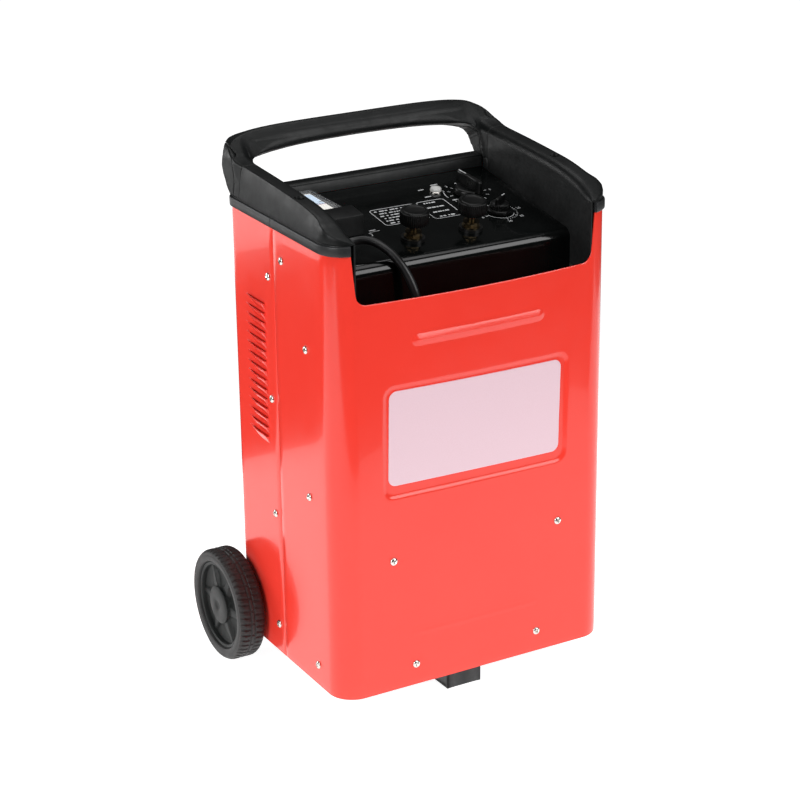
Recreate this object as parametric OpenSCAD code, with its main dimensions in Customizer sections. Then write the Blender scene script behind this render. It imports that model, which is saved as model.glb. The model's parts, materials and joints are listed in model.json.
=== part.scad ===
// Wheeled car battery charger and booster. Millimetres, +Z up, front faces -Y.
// The origin is on the ground, under the middle of the whole machine.

/* [Body] */
// Width of the sheet body
body_w = 328; // [326:1:330]
// Height of the sheet body, bottom edge to rim
body_h = 483.8; // [480:0.1:486]
// Sheet thickness of the two shells
sheet = 1.2; // [1.0:0.1:1.5]
// Radius of the two front vertical corners
corner_r = 28; // [24:1:30]
// Radius of the two rear vertical corners
rear_r = 16; // [14:1:18]
// Outward bow of the front face at the pocket mouth
bow = 8.4; // [4:0.2:8.4]
// Height of the pocket mouth above the body's bottom edge
notch_z = 432; // [430:1:436]

/* [Panel] */
// Slope of the control panel
panel_tilt = 8.6; // [8:0.1:9]
// Knurled terminal knob diameter
knob_d = 30; // [28:1:32]
// Travel per turn of a terminal thread
thread_pitch = 1.25; // [1:0.25:1.5]

/* [Running gear] */
// Wheel diameter
wheel_d = 125; // [124:1:125]
// Wheel width
wheel_w = 30; // [28:1:30]
// Axle diameter
axle_d = 12; // [10:1:12]
// Ground clearance under the body
foot_h = 33; // [33:1:34]

/* [Charging lead] */
// Diameter of the charging lead
lead_d = 9; // [8:0.5:9]

/* [Hidden] */

hw = body_w / 2;          // half width of the body
front_y = 115;            // front face, before its bow
rear_y = 118;             // rear face
seam_y = 12.6;            // where the two shells meet
axle_y = 109.6;
axle_z = wheel_d / 2 - foot_h;
wheel_x = 200 - wheel_w / 2;
bow_y = front_y + bow;
back_y = axle_y + wheel_d / 2;
shift_y = (bow_y - back_y) / 2;
tt = tan(panel_tilt);
slot_top = 137;           // inner half width of the tray between the cheeks

red = [0.93, 0.20, 0.16];
black = [0.06, 0.06, 0.065];
dark = [0.13, 0.135, 0.14];
steel = [0.72, 0.73, 0.75];
brass = [0.78, 0.62, 0.28];

module place() { translate([0, shift_y, foot_h]) children(); }
function pz(y) = 468.3 + tt * y;
module on_panel(x, y) { translate([x, y, pz(y)]) rotate([panel_tilt, 0, 0]) children(); }
module yz(h) { translate([-h / 2, 0, 0]) rotate([90, 0, 90]) linear_extrude(h) children(); }
module xz(y0, y1) { translate([0, y1, 0]) rotate([90, 0, 0]) linear_extrude(y1 - y0) children(); }
function rev(p) = [for (i = [len(p) - 1 : -1 : 0]) p[i]];
function flip(p) = [for (q = p) [q[0], -q[1]]];
function arc(cx, cy, r, a0, a1, n) = [for (i = [0 : n]) let (a = a0 + (a1 - a0) * i / n) [cx + r * cos(a), cy + r * sin(a)]];
// U-shaped path round the back of the body: half width, end, corner radius, start
function upath(w, ye, r, y0) = concat([[-w, y0]], arc(-w + r, ye - r, r, 180, 90, 8), arc(w - r, ye - r, r, 90, 0, 8), [[w, y0]]);
function ring(w, ye, r, y0, t) = concat(upath(w, ye, r, y0), rev(upath(w - t, ye - t, max(r - t, 0.5), y0)));

// Front face position at height z, offset inward by d
function bulge(z) = bow * pow(max(z, 0) / notch_z, 2.85);
function face_y(x, z, d) = -front_y - bulge(z) * max(0, 1 - (x / 136) * (x / 136)) + d;
function shell_path(z, d) = concat(
  [for (y = [seam_y, -20, -54]) [-hw + d, y]],
  arc(-hw + corner_r, -front_y + corner_r, corner_r - d, 180, 270, 8),
  [for (i = [1 : 23]) let (x = -136 + 272 * i / 24) [x, face_y(x, z, d)]],
  arc(hw - corner_r, -front_y + corner_r, corner_r - d, 270, 360, 8),
  [for (y = [-54, -20, seam_y]) [hw - d, y]]);
// Skin between two offsets of the front shell's path, through the heights in zs
module skin(zs, paths) {
  n = len(paths[0]);
  m = len(zs);
  polyhedron(
    points = [for (k = [0 : m - 1]) for (q = paths[k]) [q[0], q[1], zs[k]]],
    faces = concat(
      [[for (i = [0 : n - 1]) i]],
      [[for (i = [n - 1 : -1 : 0]) (m - 1) * n + i]],
      [for (k = [0 : m - 2]) for (i = [0 : n - 1]) let (j = (i + 1) % n) [k * n + i, (k + 1) * n + i, (k + 1) * n + j]],
      [for (k = [0 : m - 2]) for (i = [0 : n - 1]) let (j = (i + 1) % n) [k * n + i, (k + 1) * n + j, k * n + j]]));
}
shell_zs = [0, 80, 150, 200, 240, 270, 300, 325, 350, 370, 390, 411, 432, 455, body_h];

// Screw positions: [y, z] on the sides, [x, z] on the front
side_front = [[-6, 454], [-55, 374], [-55, 213.3], [-65, 24.6]];
side_rear = [[25, 429], [25, 295], [25, 164.5], [25, 34]];
front_holes = [[-100.3, 148.9], [100.3, 148.9], [-74.7, 24.3], [74.7, 24.3]];

module notch() {
  // bottom of the pocket mouth with rounded corners, sides widening upward
  xz(-front_y - 30, -front_y + 40) union() {
    polygon(concat([[-142.4, body_h + 1]], arc(-138.5 + 12, notch_z + 12, 12, 180, 270, 8),
      arc(138.5 - 12, notch_z + 12, 12, 270, 360, 8), [[142.4, body_h + 1]]));
  }
}
module front_shell() {
  color(red) place() difference() {
    skin(shell_zs, [for (z = shell_zs) concat(shell_path(z, 0), rev(shell_path(z, sheet)))]);
    notch();
    for (h = front_holes) translate([h[0], -front_y + 4, h[1]]) rotate([90, 0, 0]) cylinder(h = 20, d = 4.4, $fn = 24);
    for (h = side_front) translate([-hw - 2, h[0], h[1]]) rotate([0, 90, 0]) cylinder(h = body_w + 4, d = 4.4, $fn = 24);
  }
}
module louver_hood(s, z) {
  // pressed hood over one louver slot
  translate([0, 36, z]) rotate([-90, 0, 0]) linear_extrude(42)
    polygon([[s * (hw - 0.6), -2.6], [s * (hw + 2.6), -0.2], [s * (hw + 2.6), 0.8], [s * (hw - 0.6), 2.6]]);
}
module rear_shell() {
  color(red) place() difference() {
    union() {
      difference() {
        linear_extrude(body_h) polygon(ring(hw, rear_y, rear_r, seam_y + 0.2, sheet));
        for (s = [-1, 1]) for (i = [0 : 14]) translate([s * hw - 3, 37, 248.2 + 10.55 * i - 1.5]) cube([6, 40, 3]);
      }
      for (s = [-1, 1]) for (i = [0 : 14]) louver_hood(s, 248.2 + 10.55 * i + 2.4);
    }
    for (h = side_rear) translate([-hw - 2, h[0], h[1]]) rotate([0, 90, 0]) cylinder(h = body_w + 4, d = 4.4, $fn = 24);
    for (s = [-1, 1]) translate([s * (hw - 7) - 13, axle_y, axle_z]) rotate([0, 90, 0]) cylinder(h = 26, d = axle_d + 1, $fn = 48);
    translate([100, 110, 80]) rotate([-90, 0, 0]) cylinder(h = 12, d = 16, $fn = 48);
  }
}
module name_plate() {
  zs = [230, 256, 282, 308, 334.5];
  color([0.90, 0.86, 0.88]) place()
    skin(zs, [for (z = zs) concat(
      [for (i = [0 : 16]) let (x = -102.5 + 205 * i / 16) [x, face_y(x, z, -0.9)]],
      [for (i = [16 : -1 : 0]) let (x = -102.5 + 205 * i / 16) [x, face_y(x, z, -0.1)]])]);
}
module base_tray() {
  color(dark) place() difference() {
    union() {
      linear_extrude(1.5) polygon(concat(upath(hw - 1.4, rear_y - 1.4, rear_r, 0), rev(flip(upath(hw - 1.4, front_y - 1.4, corner_r, 0)))));
      difference() {
        translate([0, 0, 1.5]) linear_extrude(40) polygon(concat(upath(hw - 1.4, rear_y - 1.4, rear_r, 0), rev(flip(upath(hw - 1.4, front_y - 1.4, corner_r, 0)))));
        translate([0, 0, 1.4]) linear_extrude(42) polygon(concat(upath(hw - 2.9, rear_y - 2.9, rear_r - 1.5, 0), rev(flip(upath(hw - 2.9, front_y - 2.9, corner_r - 1.5, 0)))));
      }
    }
    translate([-hw, axle_y, axle_z]) rotate([0, 90, 0]) cylinder(h = body_w, d = axle_d + 0.6, $fn = 48);
    for (h = [[-74.7, 24.3], [74.7, 24.3]]) translate([h[0], -front_y + 6, h[1]]) rotate([90, 0, 0]) cylinder(h = 10, d = 3.9, $fn = 24);
    for (h = [[-65, 24.6], [25, 34]]) translate([-hw, h[0], h[1]]) rotate([0, 90, 0]) cylinder(h = body_w, d = 3.9, $fn = 24);
  }
}
module front_foot() {
  color(black) place() difference() {
    translate([-21.5, -88, -foot_h]) cube([43, 42, foot_h]);
    translate([-19.3, -85.8, -foot_h + 2.2]) cube([38.6, 37.6, foot_h - 4.4]);
    translate([-19.3, -60, -foot_h + 2.2]) cube([38.6, 20, foot_h - 4.4]);
    for (x = [-10, 10]) translate([x, -66, -5]) cylinder(h = 6, d = 6.2, $fn = 24);
  }
}
module corner_rails() {
  // folded strips inside the side walls that the screws cut into
  color(steel) place() for (s = [-1, 1]) {
    for (r = [[-74, -44, 360], [-2, 36, 395]]) difference() {
      translate([s > 0 ? hw - sheet - 1.6 : -hw + sheet, r[0], 44]) cube([1.6, r[1] - r[0], r[2]]);
      for (h = concat(side_front, side_rear)) translate([s * hw - 6, h[0], h[1]]) rotate([0, 90, 0]) cylinder(h = 12, d = 3.9, $fn = 24);
    }
    difference() {
      translate([s > 0 ? hw - sheet - 1.6 : -hw + sheet, -20, 441]) cube([1.6, 30, 30]);
      translate([s * hw - 6, -6, 454]) rotate([0, 90, 0]) cylinder(h = 12, d = 3.9, $fn = 24);
    }
  }
}
module pocket_liner() {
  color(dark) place() difference() {
    union() {
      translate([-138.4, -112.4, 140.8]) cube([276.8, 39.7, 1.2]);                 // floor
      translate([-138.4, -73.9, 141]) cube([276.8, 1.2, 279]);                     // back wall
      translate([-136.9, -73.9, 419]) cube([273.8, 1.2, 22]);
      for (s = [-1, 1]) translate([s > 0 ? 137.2 : -138.4, -112.4, 141]) cube([1.2, 39.7, 279]);
      translate([-130, -113.5, 140.8]) cube([260, 1.2, 16]);                       // front flange
    }
    for (x = [-100.3, 100.3]) translate([x, -108, 148.9]) rotate([90, 0, 0]) cylinder(h = 10, d = 3.9, $fn = 24);
  }
}
module control_panel() {
  t = 2;
  cy = -66;
  cz = pz(cy) - 10 / cos(panel_tilt);
  color(black) place() difference() {
    yz(2 * slot_top - 0.4) polygon(concat(
      [[100, pz(100)]], arc(cy, cz, 10, 90 + panel_tilt, 180, 8), [[-76, 404]],
      [[-74, 404]], rev(arc(cy, cz, 10 - t, 90 + panel_tilt, 180, 8)), [[100, pz(100) - t / cos(panel_tilt)]]));
    for (x = [-28.6, 40.3]) on_panel(x, -36.4) translate([0, 0, -6]) cylinder(h = 12, d = 14, $fn = 48);
    on_panel(85.5, 43) translate([0, 0, -6]) cylinder(h = 12, d = 10.4, $fn = 48);
    on_panel(91, -11) translate([0, 0, -6]) cylinder(h = 12, d = 10.4, $fn = 48);
    on_panel(55, 60) translate([0, 0, -6]) cylinder(h = 12, d = 10.2, $fn = 48);
    on_panel(-102, 40) translate([0, 0, -6]) cylinder(h = 12, d = 46, $fn = 64);
  }
}
module front_rim() {
  color(black) place() difference() {
    translate([0, 0, body_h]) linear_extrude(11.2)
      polygon(flip(ring(hw + 2.5, front_y + 2.5, corner_r + 2.5, -seam_y + 0.3, 7)));
    translate([-144, -130, body_h - 1]) cube([288, 40, 20]);
  }
}
module rear_rim() {
  color(black) place() translate([0, 0, body_h]) linear_extrude(11.2)
    polygon(ring(hw + 2.5, rear_y + 2.5, rear_r + 2.5, seam_y + 0.3, 7));
}
module cheek(s) {
  // side moulding: crest profile rising to the handle, and a skirt down the tray's side
  z0 = body_h + 11.2;
  difference() {
    union() {
      translate([s * 150.7, 0, 0]) yz(26.6) polygon([[-112, z0], [-112, 500.5], [-101, 504.2], [-82.4, 510.5], [-63.7, 516.2],
        [-45, 520.6], [-26, 523], [-6.4, 524.9], [32.8, 527.2], [67, 528.7], [87.7, 529.6], [87.7, z0]]);
      translate([s * 138.2, 0, 0]) yz(1.8) polygon([[-112.2, 420.4], [-112.2, z0 + 1], [87.7, z0 + 1], [87.7, 481.5], [-72, 456], [-72, 420.4]]);
    }
    translate([s * 152, -25, 510]) cylinder(h = 30, d = 9.4, $fn = 32);
    if (s < 0) translate([-142, -47, 475]) rotate([0, 90, 0]) cylinder(h = 8, d = 12, $fn = 48);
  }
}
module plan_clip() {
  // outline of the body in plan, so the cheeks follow its rounded corners
  translate([0, 0, 400]) linear_extrude(180) polygon(concat(upath(hw, rear_y, rear_r, 0), rev(flip(upath(hw, front_y, corner_r, 0)))));
}
module left_cheek() { color(dark) place() intersection() { cheek(-1); plan_clip(); } }
module right_cheek() { color(dark) place() intersection() { cheek(1); plan_clip(); } }
// ---- handle: two posts and a bar that leans back behind the body ----
// Outer outline of the posts and bar, seen from the front
function arch(s) = [for (a = [0 : 6 : 84]) [s * 162 * pow(cos(a), 2 / 4.6), 512 + 43 * pow(sin(a), 2 / 4.6)]];
module arch_outline(y0, y1) { xz(y0, y1) polygon(concat([[-hw, body_h + 11.2], [-hw, 503]], arch(-1), [[0, 555]], rev(arch(1)), [[hw, 503], [hw, body_h + 11.2]])); }
// Outline of the hand gap under the bar
gap_half = [[-137.4, 470], [-137.4, 502], [-137.1, 510], [-135.8, 518], [-133, 523.6], [-128, 527.2], [-120, 529.4], [-105, 531.6], [-85, 533.9], [-67, 535.3], [-35, 536.5]];
// its ceiling slopes down to the rear, square to the leaning bar
module hand_gap() {
  translate([0, 122, 520]) rotate([-atan(0.5), 0, 0]) xz(-70, 60)
    polygon([for (q = concat(gap_half, [[0, 536.9]], rev([for (q = gap_half) [-q[0], q[1]]]))) [q[0], (q[1] - 520) * cos(atan(0.5))]]);
}
// Side profile: front and rear edges as [y, z], and the seam between the two halves
lean_front = [[98, body_h + 11.2], [98, 499], [99, 505], [101, 512], [105, 518], [110, 524], [115, 530], [120, 536], [124.5, 542], [126.8, 548], [130, 553], [134.5, 555.3]];
lean_back = [[117.6, body_h + 11.2], [121, 500], [125, 505], [129, 510], [132, 515], [135, 520], [138, 525], [141.5, 530], [146, 536], [150, 542], [151.5, 548]];
post_r = 8; // radius of the posts' outer rear corners
lean_top = [[150.4, 551], [147.5, 553.6], [142.5, 555.3]];
seam = [[101.5, body_h + 11.2], [101.5, 500], [102.1, 506.3], [102.6, 515], [104.3, 521], [107.4, 525.5], [111.9, 528.5], [116.5, 531], [124, 534.5], [134, 539], [144, 544.5], [152, 548.6]];
module handle_body() {
  intersection() {
    union() {
      difference() {
        yz(2 * hw) polygon(concat(lean_front, rev(lean_top), rev(lean_back)));
        hand_gap();
      }
      // feet that carry on the line of the cheeks
      for (s = [-1, 1]) translate([s * 150.8, 0, 0]) yz(26.4)
        polygon([[88, body_h + 11.2], [88, 529.6], [95, 530.1], [103, 531.2], [110, 532.7], [116, 534.4], [121, 537.2], [125, 542.5], [130, 541], [112, 500], [104, body_h + 11.2]]);
    }
    arch_outline(80, 170);
    skin(concat([for (q = lean_back) q[1]], [560]), [for (q = concat(lean_back, [[151.6, 560]])) rev(upath(hw, q[0], post_r, 60))]);
  }
}
module handle_front_half() {
  // front and top moulding of the bar, with a foot on each side that meets the cheek
  color(dark) place() union() {
    intersection() { handle_body(); yz(2 * hw + 4) polygon(concat([[80, 560], [160, 560]], [[160, 548.6]], rev(seam), [[80, body_h + 11.2]])); }
    for (s = [-1, 1]) translate([s * 138.2, 0, 0]) yz(1.8) polygon([[88, 481.8], [88, body_h + 12], [98.5, body_h + 12], [98.5, 483]]);
  }
}
module handle_rear_half() {
  color(dark) place() intersection() {
    handle_body();
    translate([0, 0.12, -0.12]) yz(2 * hw + 4) polygon(concat([[101.5, body_h]], seam, [[160, 548.6], [160, body_h]]));
  }
}
module rear_rail() {
  color(dark) place() yz(273.4) polygon([[100, pz(100) + 0.3], [100, 495.5], [102, 497.5], [116, 497.5], [118, 496.3], [118, 495.2], [113.2, 495.2], [113.2, pz(100) + 0.3]]);
}

// ---- running gear ----
module axle() { color(steel) place() translate([-196.5, axle_y, axle_z]) rotate([0, 90, 0]) cylinder(h = 393, d = axle_d, $fn = 64); }
module axle_brackets() {
  color(dark) place() for (x = [-140, -100, 100, 140]) difference() {
    translate([x - 1.5, 94, 1.5]) cube([3, 20.6, 44]);
    translate([x - 2, axle_y - 4, axle_z]) rotate([0, 90, 0]) translate([0, 4, 0]) cylinder(h = 4, d = axle_d, $fn = 64);
    translate([x - 2, axle_y + 0.01, axle_z + 6]) cube([4, 10, 10]);
  }
}
module axle_spacers() {
  color(steel) place() for (s = [-1, 1]) translate([s * 167.4, axle_y, axle_z]) rotate([0, 90, 0])
    difference() { cylinder(h = 4.6, d = 20, center = true, $fn = 48); cylinder(h = 6, d = axle_d, center = true, $fn = 64); }
}
module wheel_at(s) { translate([s * wheel_x, axle_y, axle_z]) rotate([0, s * 90, 0]) children(); }
module tyre() {
  r = wheel_d / 2;
  w = wheel_w / 2;
  rotate_extrude($fn = 96) polygon([[48, -w + 3], [50.5, -w], [r - 5, -w], [r - 1.6, -w + 1.6], [r, -w + 5], [r, -1.2], [r - 1.8, -1.2], [r - 1.8, 1.2], [r, 1.2],
    [r, w - 5], [r - 1.6, w - 1.6], [r - 5, w], [50.5, w], [48, w - 3]]);
}
module hub() {
  w = wheel_w / 2;
  difference() {
    union() {
      rotate_extrude($fn = 96) polygon([[44.5, -w + 3], [48, -w + 3], [48, w - 3], [44.5, w - 3]]);
      translate([0, 0, -w + 0.5]) cylinder(h = 2 * w - 4, d = 40, $fn = 64);
      translate([0, 0, -2]) cylinder(h = 4, r = 45, $fn = 96);
      for (a = [0 : 5]) rotate(a * 60) translate([18, -2, -8]) cube([27, 4, 16]);
    }
    cylinder(h = 40, d = axle_d + 0.1, center = true, $fn = 64);
    translate([0, 0, w - 6.5]) cylinder(h = 6, d = 22, $fn = 48);
  }
}
module hub_cap() {
  w = wheel_w / 2;
  difference() {
    union() {
      translate([0, 0, w - 6.4]) cylinder(h = 3.6, d = 22, $fn = 48);
      translate([0, 0, w - 3.4]) cylinder(h = 2.4, d = 42, $fn = 64);
    }
    translate([0, 0, w - 7]) cylinder(h = 4, d = 17, $fn = 48);
  }
}
module left_tyre() { color(black) place() wheel_at(-1) tyre(); }
module right_tyre() { color(black) place() wheel_at(1) tyre(); }
module left_hub() { color(dark) place() wheel_at(-1) hub(); }
module right_hub() { color(dark) place() wheel_at(1) hub(); }
module left_hub_cap() { color(dark) place() wheel_at(-1) hub_cap(); }
module right_hub_cap() { color(dark) place() wheel_at(1) hub_cap(); }

// ---- ammeter: x -134..-70, y -8.5..88 on the panel, face rising to the front ----
module meter_slab(z0, z1) { translate([-134, 0, 0]) rotate([90, 0, 90]) linear_extrude(64) polygon([[z0[0], z0[1]], [z1[0], z0[1]], [z1[0], z1[1]], [z0[0], z1[1]]]); }
module ammeter_body() {
  color(black) place() union() {
    difference() {
      translate([-134, 0, 0]) rotate([90, 0, 90]) linear_extrude(64) polygon([[-8.5, pz(-8.5)], [88, pz(88)], [88, pz(88) + 4], [9.5, pz(9.5) + 4], [9.5, pz(9.5) + 22], [-8.5, pz(-8.5) + 22]]);
      on_panel(-102, 40) translate([0, 0, -6]) cylinder(h = 20, d = 40, $fn = 64);
    }
    on_panel(-106.5, 16) translate([0, 0, 3]) cylinder(h = 6.7, d = 4, $fn = 32);
  }
}
module ammeter_cover() {
  // clear wedge, open below
  color([0.85, 0.92, 0.95, 0.35]) place() difference() {
    translate([-134, 0, 0]) rotate([90, 0, 90]) linear_extrude(64) polygon([[9.6, pz(9.6) + 4.1], [88, pz(88) + 4.1], [88, pz(88) + 11.5], [9.6, pz(9.6) + 22]]);
    translate([-132.4, 0, 0]) rotate([90, 0, 90]) linear_extrude(60.8) polygon([[11.2, pz(11.2) + 3], [86.4, pz(86.4) + 3], [86.4, pz(86.4) + 9.7], [11.2, pz(11.2) + 20.2]]);
  }
}
module ammeter_scale() {
  color([0.93, 0.93, 0.91]) place() translate([-131, 0, 0]) rotate([90, 0, 90]) linear_extrude(49) polygon([[20.5, pz(20.5) + 7.6], [84, pz(84) + 5.2], [84, pz(84) + 6.2], [20.5, pz(20.5) + 8.6]]);
}
module ammeter_needle() {
  color([0.1, 0.1, 0.1]) place() on_panel(-106.5, 16) {
    translate([0, 0, 9.8]) cylinder(h = 2.4, d = 6, $fn = 32);
    rotate(38) translate([-0.6, 0, 10.6]) cube([1.2, 36, 0.7]);
  }
}
module ammeter_movement() { color(steel) place() on_panel(-102, 40) translate([0, 0, -30]) cylinder(h = 31.5, d = 39.6, $fn = 64); }

// ---- panel controls ----
module pilot_lamp_body() {
  color(black) place() on_panel(55, 60) difference() {
    union() { translate([0, 0, -24]) cylinder(h = 24, d = 10.2, $fn = 48); cylinder(h = 1.2, d = 14, $fn = 48); }
    translate([0, 0, -3]) cylinder(h = 10, d = 8, $fn = 48);
  }
}
module pilot_lamp_lens() {
  color([0.95, 0.95, 0.95, 0.6]) place() on_panel(55, 60) union() {
    translate([0, 0, -2.9]) cylinder(h = 4.1, d = 7.9, $fn = 48);
    translate([0, 0, 1.2]) cylinder(h = 3, d1 = 12, d2 = 10.5, $fn = 48);
    translate([0, 0, 4.2]) cylinder(h = 1.1, d1 = 10.5, d2 = 6, $fn = 48);
  }
}
module selector_knob() {
  color(black) place() on_panel(85.5, 43) difference() {
    union() {
      translate([0, 0, 0.6]) cylinder(h = 7, d1 = 32, d2 = 29, $fn = 64);
      translate([0, 0, 7.6]) rotate(8) union() { translate([-3, -17.6, 0]) cube([6, 35.2, 12.8]); for (q = [-17.6, 17.6]) translate([0, q, 0]) cylinder(h = 12.8, d = 6, $fn = 32); }
    }
    translate([0, 0, -1]) cylinder(h = 13, d = 6.1, $fn = 48);
  }
}
module selector_switch() {
  color([0.55, 0.5, 0.42]) place() on_panel(85.5, 43) {
    translate([0, 0, -42]) cylinder(h = 38, d = 42, $fn = 64);
    translate([0, 0, -4]) cylinder(h = 4.4, d = 10.4, $fn = 48);
    translate([0, 0, 0.4]) cylinder(h = 10.5, d = 6, $fn = 48);
  }
}
module timer_knob() {
  color(black) place() on_panel(91, -11) difference() {
    union() {
      translate([0, 0, 0.6]) cylinder(h = 4, d = 25, $fn = 64);
      translate([0, 0, 4.6]) cylinder(h = 6.4, d1 = 22, d2 = 19.4, $fn = 64);
      translate([0, 0, 11]) rotate(-60) translate([-2.6, -9.5, 0]) cube([5.2, 19, 7.2]);
    }
    translate([0, 0, -1]) cylinder(h = 11, d = 6.1, $fn = 48);
  }
}
module timer_body() {
  color([0.8, 0.8, 0.78]) place() on_panel(91, -11) {
    translate([-21, -21, -32]) cube([42, 42, 28]);
    translate([0, 0, -4]) cylinder(h = 4.4, d = 10.4, $fn = 48);
    translate([0, 0, 0.4]) cylinder(h = 8.6, d = 6, $fn = 48);
  }
}
module terminal_knob() {
  difference() {
    union() {
      translate([0, 0, 17.2]) cylinder(h = 1.3, d1 = 24.6, d2 = knob_d, $fn = 64);
      translate([0, 0, 18.4]) cylinder(h = 14.1, d = knob_d, $fn = 64);
      translate([0, 0, 32.5]) cylinder(h = 1, d1 = knob_d, d2 = knob_d - 2, $fn = 64);
      for (a = [0 : 29]) rotate(a * 12) translate([knob_d / 2 - 0.5, -0.6, 18.9]) cube([1.1, 1.2, 13.3]);
    }
    translate([0, 0, 16]) cylinder(h = 15.4, d = 8.1, $fn = 64);
  }
}
module left_terminal_knob() { color(black) place() on_panel(-28.6, -36.4) terminal_knob(); }
module right_terminal_knob() { color(black) place() on_panel(40.3, -36.4) terminal_knob(); }
module pressure_washer() { difference() { translate([0, 0, 15.4]) cylinder(h = 1.6, d = 16, $fn = 48); cylinder(h = 20, d = 8.1, $fn = 64); } }
module left_terminal_washer() { color(steel) place() on_panel(-28.6, -36.4) pressure_washer(); }
module right_terminal_washer() { color(steel) place() on_panel(40.3, -36.4) pressure_washer(); }
module terminal_studs() {
  color(brass) place() for (x = [-28.6, 40.3]) on_panel(x, -36.4) translate([0, 0, -24]) cylinder(h = 49, d = 8, $fn = 64);
}
module terminal_collars() {
  color(black) place() for (x = [-28.6, 40.3]) on_panel(x, -36.4) difference() {
    union() { cylinder(h = 3.4, d = 25, $fn = 48); translate([0, 0, -2]) cylinder(h = 2.2, d = 14, $fn = 48); translate([0, 0, -5]) cylinder(h = 3, d = 25, $fn = 48); }
    translate([0, 0, -6]) cylinder(h = 12, d = 8, $fn = 64);
  }
}
module terminal_nuts() {
  color(brass) place() for (x = [-28.6, 40.3]) on_panel(x, -36.4) difference() {
    union() {
      translate([0, 0, 3.4]) cylinder(h = 1.2, d = 19, $fn = 48);
      translate([0, 0, 4.6]) cylinder(h = 3.8, d = 15, $fn = 6);
      translate([0, 0, 8.4]) cylinder(h = 1.3, d = 17, $fn = 48);
      translate([0, 0, -6.2]) cylinder(h = 1.2, d = 19, $fn = 48);
      translate([0, 0, -11]) cylinder(h = 4.8, d = 15, $fn = 6);
    }
    translate([0, 0, -14]) cylinder(h = 30, d = 8, $fn = 64);
  }
}
module lead_glands() {
  // gland and tapered strain relief of the charging lead in the left inner wall
  color(black) place() translate([0, -47, 475]) rotate([0, 90, 0]) difference() {
    union() {
      translate([0, 0, -148]) cylinder(h = 8.9, d = 20, $fn = 6);
      translate([0, 0, -139.1]) cylinder(h = 1.8, d = 12, $fn = 48);
      translate([0, 0, -137.3]) cylinder(h = 6.3, d = 22, $fn = 48);
      translate([0, 0, -131]) cylinder(h = 21, d1 = 16, d2 = 11.5, $fn = 48);
    }
    translate([0, 0, -150]) cylinder(h = 60, d = lead_d, $fn = 48);
  }
  // gland of the supply lead, low in the back
  color(black) place() translate([100, 118, 80]) rotate([-90, 0, 0]) difference() {
    union() {
      translate([0, 0, -7]) cylinder(h = 5.7, d = 20, $fn = 6);
      translate([0, 0, -1.3]) cylinder(h = 1.4, d = 15.6, $fn = 48);
      translate([0, 0, 0.1]) cylinder(h = 4, d = 20, $fn = 48);
      translate([0, 0, 4.1]) cylinder(h = 14, d1 = 14, d2 = 10.5, $fn = 48);
    }
    translate([0, 0, -8]) cylinder(h = 30, d = 7.5, $fn = 48);
  }
}

// ---- charging lead: route points, hand set ----
coil_c = [-76, 201];
route_in = [[-110, -47, 475], [-104, -47.4, 475.4], [-98, -49.5, 476.3], [-92, -54, 476.6], [-86, -60.5, 475], [-80, -68, 470.6],
  [-74, -76, 463.6], [-68.5, -83, 454.2], [-64, -88.5, 443.5], [-60.5, -92.5, 432], [-58, -95, 419], [-57.4, -97, 400], [-61, -98.5, 375],
  [-72, -100, 343], [-89, -100.8, 308], [-106, -101.2, 276], [-119, -101.3, 247], [-127.5, -101.3, 222], [-130, -101.3, 201]];
route_out = [[-76, -92, 147], [-62, -92, 147], [-46, -92, 147.2], [-28, -92, 148.6], [-12, -92, 150.4], [-1, -92, 150.8]];
function spline(p, i, t) = let (n = len(p), a = p[max(i - 1, 0)], b = p[i], c = p[i + 1], d = p[min(i + 2, n - 1)])
  0.5 * (2 * b + t * (c - a) + t * t * (2 * a - 5 * b + 4 * c - d) + t * t * t * (3 * b - 3 * c + d - a));
function smooth(p, s) = concat([for (i = [0 : len(p) - 2]) for (k = [0 : s - 1]) spline(p, i, k / s)], [p[len(p) - 1]]);
function unit(v) = v / norm(v);
module tube(p, d, n = 10) {
  m = len(p);
  tang = [for (i = [0 : m - 1]) unit(p[min(i + 1, m - 1)] - p[max(i - 1, 0)])];
  side = [for (i = [0 : m - 1]) unit(cross(tang[i], abs(tang[i][1]) < 0.8 ? [0, 1, 0] : [1, 0, 0]))];
  r = d / 2 / cos(180 / n) * 0.985;
  polyhedron(
    points = [for (i = [0 : m - 1]) let (u = side[i], v = cross(tang[i], side[i])) for (k = [0 : n - 1]) p[i] + r * (cos(360 * k / n) * u + sin(360 * k / n) * v)],
    faces = concat([[for (k = [0 : n - 1]) k]], [[for (k = [n - 1 : -1 : 0]) (m - 1) * n + k]],
      [for (i = [0 : m - 2]) for (k = [0 : n - 1]) let (l = (k + 1) % n) [i * n + k, (i + 1) * n + k, (i + 1) * n + l]],
      [for (i = [0 : m - 2]) for (k = [0 : n - 1]) let (l = (k + 1) % n) [i * n + k, (i + 1) * n + l, i * n + l]]));
}
module charging_lead() { color(black) place() { tube(smooth(route_in, 2), lead_d); tube(smooth(route_out, 1), lead_d); } }
module lead_coil() {
  color(black) place() translate([coil_c[0], -96.65, coil_c[1]]) rotate([90, 0, 0])
    rotate_extrude($fn = 96) polygon([[40.4, -8], [41.6, -9.2], [57.4, -9.2], [58.5, -8], [58.5, 8], [57.4, 9.2], [41.6, 9.2], [40.4, 8]]);
}

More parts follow.
